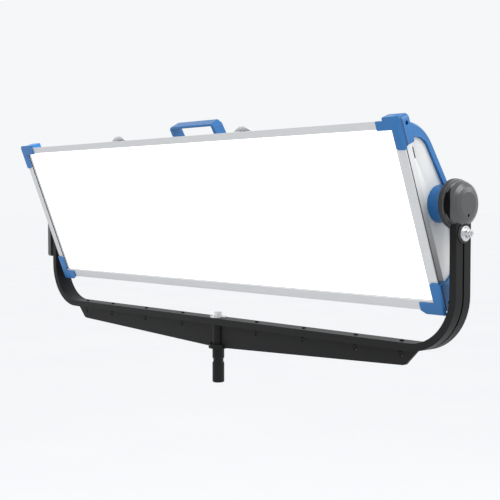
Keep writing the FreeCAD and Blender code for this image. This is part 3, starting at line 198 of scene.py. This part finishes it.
def shade(colour, share):
    """The colour, darker below 1 and lighter above it."""
    return tuple(min(1.0, channel * share) for channel in colour)


# ---------------------------------------------------------------- finishes

def moulded(name, colour, rough=0.42, grain=1400, depth=0.00006, edge=1.25, specular=0.5, coat=0.0):
    """Textured injection moulding: spark-eroded grain, faint flow in the colour, and edges painted lighter:
    painted highlight, with some wear from handling.
    """
    look = Nodes(name)
    flow = look.ramp(look.noise(9, 4), shade(colour, 0.92), shade(colour, 1.08), 0.3, 0.7)
    # edges painted lighter by the edge share: painted highlight, with some wear
    edge_highlight_and_wear = look.mix(look.edges(), flow, shade(colour, edge))
    look.colour(edge_highlight_and_wear)
    look.roughness(look.ramp(look.noise(60, 3), rough - 0.05, rough + 0.06, 0.3, 0.7))
    look.bump(look.noise(grain, 2), depth, 0.5)
    look.set(Specular_IOR_Level=specular, Coat_Weight=coat, Coat_Roughness=0.25)
    return look.material


def powder_coat(name, colour, rough=0.45, grain=900, depth=0.00008, specular=0.5):
    """Powder coat: orange-peel waves under a fine grain."""
    look = Nodes(name)
    tone = look.ramp(look.noise(5, 3), shade(colour, 0.965), shade(colour, 1.02), 0.3, 0.7)
    # edges painted lighter: painted highlight
    look.colour(look.mix(look.edges(0.54, 0.66), tone, shade(colour, 1.12)))
    look.roughness(look.ramp(look.noise(120, 4), rough - 0.06, rough + 0.06, 0.3, 0.7))
    peel = look.bump(look.noise(170, 2), depth * 1.5, 0.35)
    look.bump(look.noise(grain, 3), depth, 0.4, peel)
    look.set(Specular_IOR_Level=specular)
    return look.material


def anodised(name, colour, rough=0.34, metal=1.0, grain=(4, 900, 900), turn=(0, 0, 0), depth=0.00003,
             specular=0.5):
    """Extruded and anodised aluminium: die lines along the length, and a soft bloom over them."""
    look = Nodes(name)
    lines = look.noise(1.0, 3, 0.6, look.stretched(grain, turn))
    bloom = look.noise(14, 3)
    tone = look.ramp(lines, shade(colour, 0.93), shade(colour, 1.05), 0.3, 0.7)
    look.colour(look.mix(look.ramp(bloom, 0.0, 0.25, 0.35, 0.75), tone, shade(colour, 1.08)))
    look.roughness(look.ramp(lines, rough - 0.05, rough + 0.08, 0.25, 0.75))
    look.bump(lines, depth, 0.5)
    look.set(Metallic=metal, Specular_IOR_Level=specular)
    return look.material


def plated(name, colour, rough=0.22):
    """Bright zinc plate: fine turning marks and slightly cloudy shine."""
    look = Nodes(name)
    cloud = look.noise(160, 4)
    look.colour(look.ramp(cloud, shade(colour, 0.86), shade(colour, 1.06), 0.3, 0.7))
    look.roughness(look.ramp(look.noise(420, 3), rough - 0.07, rough + 0.12, 0.3, 0.7))
    look.bump(look.noise(1900, 2), 0.00003, 0.4)
    look.set(Metallic=1.0)
    return look.material


GLOW = 1.15  # emission strength of the opal sheet


def opal(name):
    """The lit opal sheet: light from behind, a breath weaker at its border."""
    look = Nodes(name)
    low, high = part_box("diffuser_sheet")
    axes = look.add("ShaderNodeSeparateXYZ")
    look.link(look.place, axes.inputs["Vector"])
    reach = (high.x - low.x) / 2
    inset = look.math("SUBTRACT", reach, look.math("ABSOLUTE", axes.outputs["X"], 0.0))
    border = look.ramp(inset, 0.965, 1.0, 0.0, 0.05)
    grain = look.ramp(look.noise(700, 2), 0.985, 1.0, 0.3, 0.7)
    glow = look.math("MULTIPLY", look.math("MULTIPLY", border, grain), GLOW)
    look.link(glow, look.shader.inputs["Emission Strength"])
    look.colour(look.ramp(look.noise(500, 2), (0.93, 0.93, 0.93), (0.98, 0.98, 0.98), 0.3, 0.7))
    look.roughness(look.ramp(look.noise(300, 2), 0.45, 0.55, 0.3, 0.7))
    look.bump(look.noise(2600, 2), 0.00004, 0.35)
    look.set(Emission_Color=(1.0, 0.995, 0.985, 1.0))
    return look.material


def glass_window(name):
    """Dark display glass; the bars of its menu are a piece of their own."""
    look = Nodes(name)
    look.colour(look.ramp(look.noise(40, 2), (0.010, 0.014, 0.018), (0.016, 0.022, 0.028), 0.3, 0.7))
    look.roughness(look.ramp(look.noise(30, 2), 0.04, 0.09, 0.3, 0.7))
    look.set(Specular_IOR_Level=0.6, Coat_Weight=0.6, Coat_Roughness=0.03)
    return look.material


BOARD_LEAN = math.radians(20.9)  # how far the boards' plane leans back from upright


def board(name, colour):
    """Solder mask over copper: faint tracks and a satin shine."""
    look = Nodes(name)
    tracks = look.add("ShaderNodeTexBrick", offset=0.5)
    for key, value in (("Scale", 60), ("Mortar Size", 0.03), ("Mortar Smooth", 0.3)):
        tracks.inputs[key].default_value = value
    look.link(look.stretched((1, 1, 1), (math.pi / 2 - BOARD_LEAN, 0, 0)), tracks.inputs["Vector"])
    look.colour(look.mix(look.ramp(tracks.outputs["Fac"], 0.0, 0.5), colour, shade(colour, 0.8)))
    look.roughness(look.ramp(look.noise(200, 3), 0.28, 0.42, 0.3, 0.7))
    look.bump(tracks.outputs["Fac"], 0.00005, 0.4)
    return look.material


def rubber(name, colour, rough=0.7):
    """Soft-touch rubber: matt, with a fine open grain."""
    look = Nodes(name)
    look.colour(look.ramp(look.noise(25, 4), shade(colour, 0.85), shade(colour, 1.15), 0.3, 0.7))
    look.roughness(look.ramp(look.noise(90, 3), rough - 0.06, rough + 0.08, 0.3, 0.7))
    look.bump(look.cells(1100), 0.00006, 0.4)
    look.set(Specular_IOR_Level=0.35, Sheen_Weight=0.15, Sheen_Roughness=0.5)
    return look.material


ALONG_X = (5, 1100, 1100)  # scale of a grain that runs across the lamp
PANEL_TONE = (0.685, 0.690, 0.688)


def make_finishes():
    """One material for each of the record's material slots."""
    return {
        "rim_aluminium": anodised("rim_aluminium", (0.63, 0.632, 0.64), 0.44, 0.5, ALONG_X),
        # corner_blue's edges are painted much lighter: painted highlight along its edges
        "corner_blue": moulded("corner_blue", (0.014, 0.138, 0.375), 0.34, specular=0.45, edge=1.8),
        "panel_grey": powder_coat("panel_grey", PANEL_TONE, 0.42),
        "case_grey": powder_coat("case_grey", (0.66, 0.675, 0.69), 0.42),
        "sink_black": anodised("sink_black", (0.030, 0.031, 0.034), 0.5, 0.4),
        "yoke_black": anodised("yoke_black", (0.009, 0.009, 0.0095), 0.48, 0.0, (14, 600, 600),
                               specular=0.2),
        "cap_black": moulded("cap_black", (0.050, 0.050, 0.052), 0.30, depth=0.00002, edge=1.3, coat=0.25),
        "disc_black": rubber("disc_black", (0.030, 0.030, 0.031)),
        "bush_bronze": plated("bush_bronze", (0.55, 0.36, 0.16), 0.35),
        "bright_steel": plated("bright_steel", (0.72, 0.72, 0.73), 0.26),
        "spigot_steel": anodised("spigot_steel", (0.006, 0.006, 0.0065), 0.42, 0.0, (700, 700, 8),
                                 specular=0.2),
        "diffuser_opal": opal("diffuser_opal"),
        "diffuser_rim": anodised("diffuser_rim", (0.66, 0.665, 0.67), 0.5, 0.0, ALONG_X),
        "chamber_white": powder_coat("chamber_white", (0.86, 0.86, 0.85), 0.6),
        "board_white": board("board_white", (0.78, 0.80, 0.78)),
        "led_yellow": moulded("led_yellow", (0.86, 0.62, 0.10), 0.3, 2500, 0.00002),
        "plate_metal": anodised("plate_metal", (0.62, 0.63, 0.64), 0.38, 1.0, ALONG_X),
        "fan_black": moulded("fan_black", (0.020, 0.020, 0.022), 0.38),
        "console_black": moulded("console_black", (0.026, 0.026, 0.028), 0.46),
        "display_glass": glass_window("display_glass"),
        "control_rubber": rubber("control_rubber", (0.045, 0.045, 0.047), 0.62),
        "socket_black": moulded("socket_black", (0.016, 0.016, 0.017), 0.35),
        "supply_metal": plated("supply_metal", (0.60, 0.61, 0.62), 0.34),
    }


# ---------------------------------------------------------------- mesh helpers

def mesh_from(name, work):
    """Turns a bmesh into a mesh, and frees it."""
    mesh = bpy.data.meshes.new(name)
    work.to_mesh(mesh)
    work.free()
    return mesh


def add_piece(name, shape, body, material):
    """Makes an object from a mesh or a bmesh, and lets it ride on a CAD body."""
    mesh = mesh_from(name, shape) if isinstance(shape, bmesh.types.BMesh) else shape
    piece = bpy.data.objects.new(name, mesh)
    bpy.context.scene.collection.objects.link(piece)
    mesh.materials.clear()
    mesh.materials.append(material)
    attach(piece, body)
    return piece


def smooth_by_angle(mesh, limit):
    """Shades a mesh smooth and marks its creases sharp."""
    work = bmesh.new()
    work.from_mesh(mesh)
    for face in work.faces:
        face.smooth = True
    for edge in work.edges:
        edge.smooth = len(edge.link_faces) == 2 and edge.calc_face_angle(0) < limit
    work.to_mesh(mesh)
    work.free()


def bevel(piece, width, segments=2, angle=32):
    """Rounds a piece's outside edges, as casting, moulding or deburring leaves them."""
    modifier = piece.modifiers.new("edge_round", "BEVEL")
    modifier.width = width
    modifier.segments = segments
    modifier.limit_method = "ANGLE"
    modifier.angle_limit = math.radians(angle)
    modifier.use_clamp_overlap = True
    modifier.miter_outer = "MITER_ARC"
    modifier.harden_normals = True
    return piece


PIERCED = {  # their flat faces have holes, and stay in parts
    "electronics_case", "control_panel", "fan_frames", "diffuser_frame",
    "side_panel_left", "side_panel_right",
}


def clean_copy(node):
    """A copy of a CAD node's mesh, with its seams welded and, unless it is pierced, its flat faces made whole."""
    work = bmesh.new()
    work.from_mesh(NODES[node].data)
    bmesh.ops.remove_doubles(work, verts=work.verts, dist=1e-6)
    if node not in PIERCED:
        bmesh.ops.dissolve_limit(work, angle_limit=math.radians(0.6), verts=work.verts, edges=work.edges,
                                 delimit={"NORMAL"})
    return mesh_from(node + "_finished", work)


def body_of_node(node):
    for body, nodes in RECORD["behaviour"]["bodies"].items():
        if node in nodes:
            return body
    raise ValueError(node)


SLOT_OF = {row["node"]: row["material_slot"] for row in RECORD["subparts"]}


def refine(node, width, segments=2, angle=32):
    """Stands a piece with rounded edges in a CAD node's place."""
    mesh = clean_copy(node)
    smooth_by_angle(mesh, math.radians(angle))
    slot = SLOT_OF[node]
    piece = add_piece(node + "_piece", mesh, body_of_node(node), FINISHES[slot])
    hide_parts(node)
    return bevel(piece, width, segments, angle)


def revolved(profile, steps=64):
    """A closed surface turned about X from (x, radius) points."""
    work = bmesh.new()
    rings = []
    for x, radius in profile:
        if radius == 0:
            rings.append([work.verts.new((x, 0, 0))])
            continue
        rings.append([work.verts.new((x, radius * math.cos(turn), radius * math.sin(turn)))
                      for turn in (2 * math.pi * step / steps for step in range(steps))])
    for first, second in zip(rings, rings[1:]):
        for step in range(steps):
            after = (step + 1) % steps
            corners = [first[step % len(first)], first[after % len(first)],
                       second[after % len(second)], second[step % len(second)]]
            unique = list(dict.fromkeys(corners))
            if len(unique) > 2:
                work.faces.new(unique)
    bmesh.ops.recalc_face_normals(work, faces=work.faces)
    return work


def place_along(work, origin, direction):
    """Turns a shape made about +X to point along a direction, and moves it to its place."""
    turn = Vector((1, 0, 0)).rotation_difference(Vector(direction).normalized()).to_matrix().to_4x4()
    bmesh.ops.transform(work, matrix=Matrix.Translation(origin) @ turn, verts=work.verts)
    return work


def join(works):
    """One bmesh from several."""
    whole = bmesh.new()
    for work in works:
        mesh = mesh_from("joined", work)
        whole.from_mesh(mesh)
        bpy.data.meshes.remove(mesh)
    return whole


# ---------------------------------------------------------------- the pieces

EDGE_ROUNDS = {  # CAD node: radius of its outside edges in millimetres, and the segments that round them
    "rim_top": (0.5, 2), "rim_bottom": (0.5, 2), "rim_sides": (0.5, 2),
    "side_panel_left": (0.5, 1), "side_panel_right": (0.5, 1),
    "top_cover": (0.8, 2), "bottom_cover": (0.8, 2),
    "electronics_case": (1.2, 3), "control_panel": (0.8, 2),
    "tilt_hubs": (1.2, 3), "friction_discs": (1.0, 3),
    "corner_bracket_top_left": (1.0, 3), "corner_bracket_top_right": (1.0, 3),
    "corner_bracket_bottom_left": (1.0, 3), "corner_bracket_bottom_right": (1.0, 3),
    "side_bumper_left": (1.2, 3), "side_bumper_right": (1.2, 3),
    "carry_handle": (2.5, 4), "tilt_lock_lever": (1.2, 3),
    "yoke_bar": (1.4, 3), "beam_plates": (0.8, 2), "beam_bolts": (0.4, 2),
    "spigot": (0.8, 2), "spigot_bolt": (0.5, 2), "spigot_washer": (0.4, 2),
    "clamp_washer": (0.5, 2), "clamp_screw": (0.5, 2),
    "latch_left": (0.6, 2), "latch_right": (0.6, 2), "latch_bases": (0.3, 1),
    "safety_eyelet": (0.8, 2), "power_switch": (0.3, 2),
    "menu_button_left": (0.5, 2), "menu_button_middle": (0.5, 2), "menu_button_right": (0.5, 2),
    "power_inlet": (0.4, 2), "signal_sockets": (0.4, 2),
    "fan_frames": (0.4, 1), "diffuser_frame": (0.4, 1),
}


def make_cad_pieces():
    for node, (radius, segments) in EDGE_ROUNDS.items():
        refine(node, radius * MM, segments)
    for node, carried in NODES.items():
        for material_slot in carried.material_slots:
            material_slot.material = FINISHES[SLOT_OF[node]]


ACROSS, DEEP, UP = range(3)


def prism(section, start, end, along):
    """A closed solid in the head's axes: a section in the other two axes, carried from start to end."""
    work = bmesh.new()
    first, second = [axis for axis in range(3) if axis != along]
    rings = []
    for distance in (start, end):
        ring = []
        for point in section:
            place = [distance] * 3
            place[first], place[second] = point
            ring.append(work.verts.new(on_head(*place)))
        rings.append(ring)
    near_ring, far_ring = rings
    for here in range(len(section)):
        after = (here + 1) % len(section)
        work.faces.new((near_ring[here], near_ring[after], far_ring[after], far_ring[here]))
    work.faces.new(near_ring)
    work.faces.new(far_ring)
    bmesh.ops.recalc_face_normals(work, faces=work.faces)
    return work


def rectangle(low, high, radius=0.0, steps=3):
    """The corners of a rectangle, rounded when a radius is given."""
    if radius == 0:
        return [(low[0], low[1]), (high[0], low[1]), (high[0], high[1]), (low[0], high[1])]
    points = []
    corners = ((high[0], high[1]), (low[0], high[1]), (low[0], low[1]), (high[0], low[1]))
    for quarter, (x, y) in enumerate(corners):
        inward_x = -1 if x == high[0] else 1
        inward_y = -1 if y == high[1] else 1
        for step in range(steps + 1):
            turn = math.pi / 2 * (quarter + step / steps)
            points.append((x + inward_x * radius + radius * math.cos(turn),
                           y + inward_y * radius + radius * math.sin(turn)))
    return points


def head_depth_behind(node):
    """How far behind the rim's front a CAD node reaches, in millimetres."""
    piece = NODES[node]
    reach = max(HEAD_BACK.dot(piece.matrix_world @ vertex.co - PIVOT) for vertex in piece.data.vertices)
    return (reach + AXIS_DEPTH) / MM


def painted_shade_band(name, low_tone, high_tone, low, high):
    """Satin paint with painted shade: its tone climbs along the head, darker at its foot."""
    look = Nodes(name)
    climb = look.add("ShaderNodeVectorMath", operation="DOT_PRODUCT")
    look.link(look.place, climb.inputs[0])
    climb.inputs[1].default_value = HEAD_UP
    middle = HEAD_UP.dot(PIVOT)
    fade = look.ramp(climb.outputs["Value"], 0.0, 1.0, middle + low * MM, middle + high * MM)
    cloud = look.math("ADD", fade, look.ramp(look.noise(30, 3), -0.03, 0.03, 0.3, 0.7))
    look.colour(look.ramp(cloud, low_tone, high_tone))
    look.roughness(look.ramp(look.noise(120, 3), 0.36, 0.46, 0.3, 0.7))
    look.bump(look.noise(900, 2), 0.00005, 0.4)
    return look.material


SIDES = (("left", -1), ("right", 1))

# Sections of the right side's details, as millimetres across and deep. The left side mirrors them.
# Black strips inside the rim's opening, behind its flange and in the panel's slot: painted shade in the shadow
# gaps.
OPENING_SHADOW_STRIP = rectangle((646.0, 2.4), (646.95, 4.1), 0.3)
FLANGE_SHADOW_STRIP = rectangle((655.1, 2.7), (663.8, 5.4), 0.4)
SLOT_SHADOW = rectangle((644.6, 38.55), (646.85, 41.45), 0.4)
# Navy strips in the corner gaps beside the brackets: painted shade.
CORNER_GAP_SHADE = ((655.1, 5.45), (663.8, 5.45), (664.35, 6.0), (664.35, 9.7), (662.3, 7.95), (655.1, 7.95))

# Where each of them starts and stops, as millimetres above the tilt axis. The corner gap shades also stand below
# it.
OPENING_SHADOW_STRIP_ENDS = (-165, 171)
FLANGE_SHADOW_STRIP_ENDS = (-185, 186)
SLOT_SHADOW_ENDS = (103.05, 124.95)
CORNER_GAP_SHADE_ENDS = (137, 186)

# The front band is a thin skin on each side panel that carries painted shade, darker towards its foot.
BAND_SKIN = (646.52, 646.95)  # its two faces, across
BAND_LOWER_HALF = [(11.3, -169.5), (29.9, -169.5), (29.9, -147), (38.2, -145)]  # deep and up
BAND_OUTLINE = BAND_LOWER_HALF + [(deep, -up) for deep, up in reversed(BAND_LOWER_HALF)]
BAND_SHADE_TONE = (0.16, 0.162, 0.166)
BAND_SHADE_FADE = (-150, 60)  # between these heights its tone climbs to the panel's


def add_upright(name, section, sign, ends, finish):
    """A strip that runs up one side of the head, with its sharp edges taken off."""
    work = prism([(across * sign, deep) for across, deep in section], *ends, UP)
    bevel(add_piece(name, work, "head", finish), 0.2 * MM, 1)


def make_side_details():
    """Painted shade along each side: black strips in the shadow gaps of the rim and in the panel's slot, navy
    strips in the corner gaps, and a band over the front of each side panel, darker towards its foot.
    """
    # black painted shade for the shadow gaps and the slot
    gap_shadow = rubber("gap_shadow_black", (0.018, 0.018, 0.019))
    # navy painted shade for the corner gaps
    navy = moulded("corner_filler_navy", (0.004, 0.030, 0.110), 0.5)
    # the band's painted shade, darker towards its foot
    band = painted_shade_band("side_painted_shade", BAND_SHADE_TONE, PANEL_TONE, *BAND_SHADE_FADE)
    for side, sign in SIDES:
        add_upright("opening_gap_shadow_" + side, OPENING_SHADOW_STRIP, sign, OPENING_SHADOW_STRIP_ENDS, gap_shadow)
        add_upright("flange_gap_shadow_" + side, FLANGE_SHADOW_STRIP, sign, FLANGE_SHADOW_STRIP_ENDS, gap_shadow)
        for level, up in (("top", 1), ("bottom", -1)):
            ends = [end * up for end in CORNER_GAP_SHADE_ENDS]
            add_upright(f"corner_gap_shade_{level}_{side}", CORNER_GAP_SHADE, sign, ends, navy)
        add_upright("slot_shadow_" + side, SLOT_SHADOW, sign, SLOT_SHADOW_ENDS, gap_shadow)
        skin = [across * sign for across in BAND_SKIN]
        piece = add_piece("front_shade_band_" + side, prism(BAND_OUTLINE, *skin, ACROSS), "head", band)
        bevel(piece, 0.15 * MM, 1)


CAP_DOME = ((691.2, 43.5), (700.0, 42.5), (707.0, 38.5), (712.0, 31.0))  # (across, radius) of the arm caps
# The black lens-shaped sheet on each cap's dome is painted shade where the cap's recess lies.
RECESS_SHADE_ROWS = 24
RECESS_SHADE_COLUMNS = 8
RECESS_SHADE_SWING = 42  # degrees that it runs up and down the dome
RECESS_SHADE_MIDDLE = 697.6  # across
RECESS_SHADE_HALF = 5.6
RECESS_SHADE_TIP = 0.3  # half its width at its two ends
RECESS_SHADE_LIFTS = (-0.4, 0.2)  # its inner and outer faces, off the dome


def cap_radius(across):
    """The radius of a cap's dome at a distance across the lamp."""
    for (start, wide), (end, narrow) in zip(CAP_DOME, CAP_DOME[1:]):
        if across <= end:
            return wide + (narrow - wide) * (across - start) / (end - start)
    return CAP_DOME[-1][1]


def recess_shade_grid(sign, lift):
    """Rows of places on a cap's dome, lifted off it by some millimetres."""
    grid = []
    for row in range(RECESS_SHADE_ROWS + 1):
        swing = math.radians(-RECESS_SHADE_SWING + 2 * RECESS_SHADE_SWING * row / RECESS_SHADE_ROWS)
        half = RECESS_SHADE_TIP + RECESS_SHADE_HALF * math.cos(math.pi * (row / RECESS_SHADE_ROWS - 0.5))
        line = []
        for column in range(RECESS_SHADE_COLUMNS + 1):
            across = RECESS_SHADE_MIDDLE + half * (2 * column / RECESS_SHADE_COLUMNS - 1)
            radius = cap_radius(across) + lift
            line.append(PIVOT + Vector((
                across * sign, -radius * math.cos(swing), radius * math.sin(swing))) * MM)
        grid.append(line)
    return grid


def closed_patch(grids):
    """A thin closed solid between an inner and an outer grid of places."""
    work = bmesh.new()
    inner, outer = [[[work.verts.new(place) for place in line] for line in grid] for grid in grids]
    last_row = len(inner) - 1
    last_column = len(inner[0]) - 1
    for row in range(last_row):
        for column in range(last_column):
            for grid in (inner, outer):
                work.faces.new((grid[row][column], grid[row + 1][column],
                                grid[row + 1][column + 1], grid[row][column + 1]))
        for column in (0, last_column):
            work.faces.new((inner[row][column], inner[row + 1][column],
                            outer[row + 1][column], outer[row][column]))
    for column in range(last_column):
        for row in (0, last_row):
            work.faces.new((inner[row][column], inner[row][column + 1],
                            outer[row][column + 1], outer[row][column]))
    bmesh.ops.recalc_face_normals(work, faces=work.faces)
    return work


def make_cap_recess_shades():
    """A black lens-shaped sheet laid on the dome of each arm cap: painted shade where the cap's recess lies."""
    black = moulded("cap_recess_shade_black", (0.002, 0.002, 0.0022), 0.6, specular=0.08)
    for side, sign in SIDES:
        grids = [recess_shade_grid(sign, lift) for lift in RECESS_SHADE_LIFTS]
        add_piece("cap_recess_shade_" + side, closed_patch(grids), "yoke", black)


SCREW_PROFILE = (  # height and radius of a button-head screw, as shares of its radius
    (-0.15, 0.0), (-0.15, 1.0), (0.12, 1.0), (0.38, 0.86),
    (0.55, 0.62), (0.58, 0.46), (0.22, 0.44), (0.16, 0.0),
)


def screw(radius):
    return revolved([(height * radius * MM, reach * radius * MM) for height, reach in SCREW_PROFILE], 36)


CASE_BACK = 140  # how deep the back faces of the case and the control panel lie
PANEL_BACK = 143
PANEL_MIDDLE = -130  # across
CASE_SCREW_RADIUS = 3.4
PANEL_SCREW_RADIUS = 2.6
BAR_START = -207  # across
BAR_LENGTHS = (52, 68, 38, 60)  # from the top bar down
BAR_HEIGHT = 4.5
BAR_PITCH = 11
TOP_BAR = 33  # its lower edge, above the tilt axis
BAR_LIFTS = (0.02, 0.25)  # its two faces, off the glass
KNOB_PITCH = 35
KNOB_MIDDLE = -55  # across
MARK_HALF = 0.8
MARK_ENDS = (3, 10.5)  # from the knob's middle
MARK_LIFTS = (-0.1, 0.25)  # its two faces, off the knob's face


def add_screws(name, radius, deep, places, finish):
    """Button-head screws of one size, seated on a back face of the head."""
    works = [place_along(screw(radius), on_head(across, deep, up), HEAD_BACK) for across, up in places]
    add_piece(name, join(works), "head", finish)


def make_screws():
    """The fasteners round the case and at the corners of the control panel."""
    steel = plated("fastener_steel", (0.30, 0.30, 0.31), 0.3)
    places = [(across, up) for across in (-236, -60, 60, 236) for up in (118, -110)]
    add_screws("case_screws", CASE_SCREW_RADIUS, CASE_BACK, places, steel)
    places = [(PANEL_MIDDLE + across, up) for across in (-97, 97) for up in (-50, 50)]
    add_screws("panel_screws", PANEL_SCREW_RADIUS, PANEL_BACK, places, steel)


def make_display_bars():
    """Plain lit bars in place of the display's menu."""
    lit = Nodes("display_bars")
    lit.colour(lit.ramp(lit.noise(300, 2), (0.50, 0.66, 0.74), (0.62, 0.78, 0.86), 0.3, 0.7))
    lit.link(lit.ramp(lit.noise(200, 2), 0.35, 0.5, 0.3, 0.7), lit.shader.inputs["Emission Strength"])
    lit.set(Emission_Color=(0.55, 0.75, 0.85, 1.0), Roughness=0.4)
    glass = head_depth_behind("display_window")
    bars = []
    for row, length in enumerate(BAR_LENGTHS):
        low = TOP_BAR - BAR_PITCH * row
        bar = rectangle((BAR_START, low), (BAR_START + length, low + BAR_HEIGHT), 1.2)
        bars.append(prism(bar, *(glass + lift for lift in BAR_LIFTS), DEEP))
    add_piece("display_bars", join(bars), "head", lit.material)


def make_knob_marks():
    """A white pointer on the face of each knob."""
    paint = moulded("knob_mark_white", (0.80, 0.80, 0.79), 0.5)
    for name, row in (("top", 1), ("middle", 0), ("bottom", -1)):
        face = head_depth_behind("menu_knob_" + name)
        low, high = [KNOB_PITCH * row + end for end in MARK_ENDS]
        mark = rectangle((KNOB_MIDDLE - MARK_HALF, low), (KNOB_MIDDLE + MARK_HALF, high), 0.7)
        mark = prism(mark, *(face + lift for lift in MARK_LIFTS), DEEP)
        add_piece("knob_mark_" + name, mark, "knob_" + name, paint)


# ---------------------------------------------------------------- floor, sky and lights

FLOOR_DROP = 1.6  # the stand holds the spigot about this far above the floor
PALE = (0.915, 0.927, 0.940)


def make_floor():
    work = bmesh.new()
    bmesh.ops.create_grid(work, x_segments=8, y_segments=8, size=150)
    mesh = mesh_from("floor", work)
    floor = bpy.data.objects.new("floor", mesh)
    bpy.context.scene.collection.objects.link(floor)
    floor.location = (0, 0, -FLOOR_DROP)
    look = Nodes("pale_floor")
    look.colour(look.ramp(look.noise(0.8, 3), (0.955, 0.96, 0.97), (0.975, 0.98, 0.985), 0.3, 0.7))
    look.set(Roughness=0.9, Specular_IOR_Level=0.1, Emission_Color=(0.97, 0.98, 1.0, 1.0),
             Emission_Strength=0.02)
    mesh.materials.append(look.material)


def make_sky():
    world = bpy.data.worlds.new("pale_studio")
    world.use_nodes = True
    background = world.node_tree.nodes["Background"]
    background.inputs["Color"].default_value = (*PALE, 1)
    background.inputs["Strength"].default_value = 1.0
    bpy.context.scene.world = world


def add_light(name, place, target, size, power, colour=(1, 1, 1)):
    data = bpy.data.lights.new(name, "AREA")
    data.shape = "RECTANGLE"
    data.size, data.size_y = size
    data.energy = power
    data.color = colour
    light = bpy.data.objects.new(name, data)
    bpy.context.scene.collection.objects.link(light)
    light.location = place
    light.rotation_euler = (Vector(target) - Vector(place)).to_track_quat("-Z", "Y").to_euler()


def make_lights():
    add_light("key", (2.2, 0.6, 2.2), (0.4, 0, 0.3), (1.6, 1.2), 30)
    add_light("back", (2.4, 2.4, 1.5), (0.65, 0, 0.4), (1.2, 1.2), 13)
    add_light("top", (-0.4, -0.2, 2.6), (0, 0, 0.3), (2.4, 1.2), 12)


make_camera()
FINISHES = make_finishes()
make_cad_pieces()
make_side_details()
make_cap_recess_shades()
make_screws()
make_display_bars()
make_knob_marks()
make_floor()
make_sky()
make_lights()
bpy.context.scene.view_settings.view_transform = "Standard"
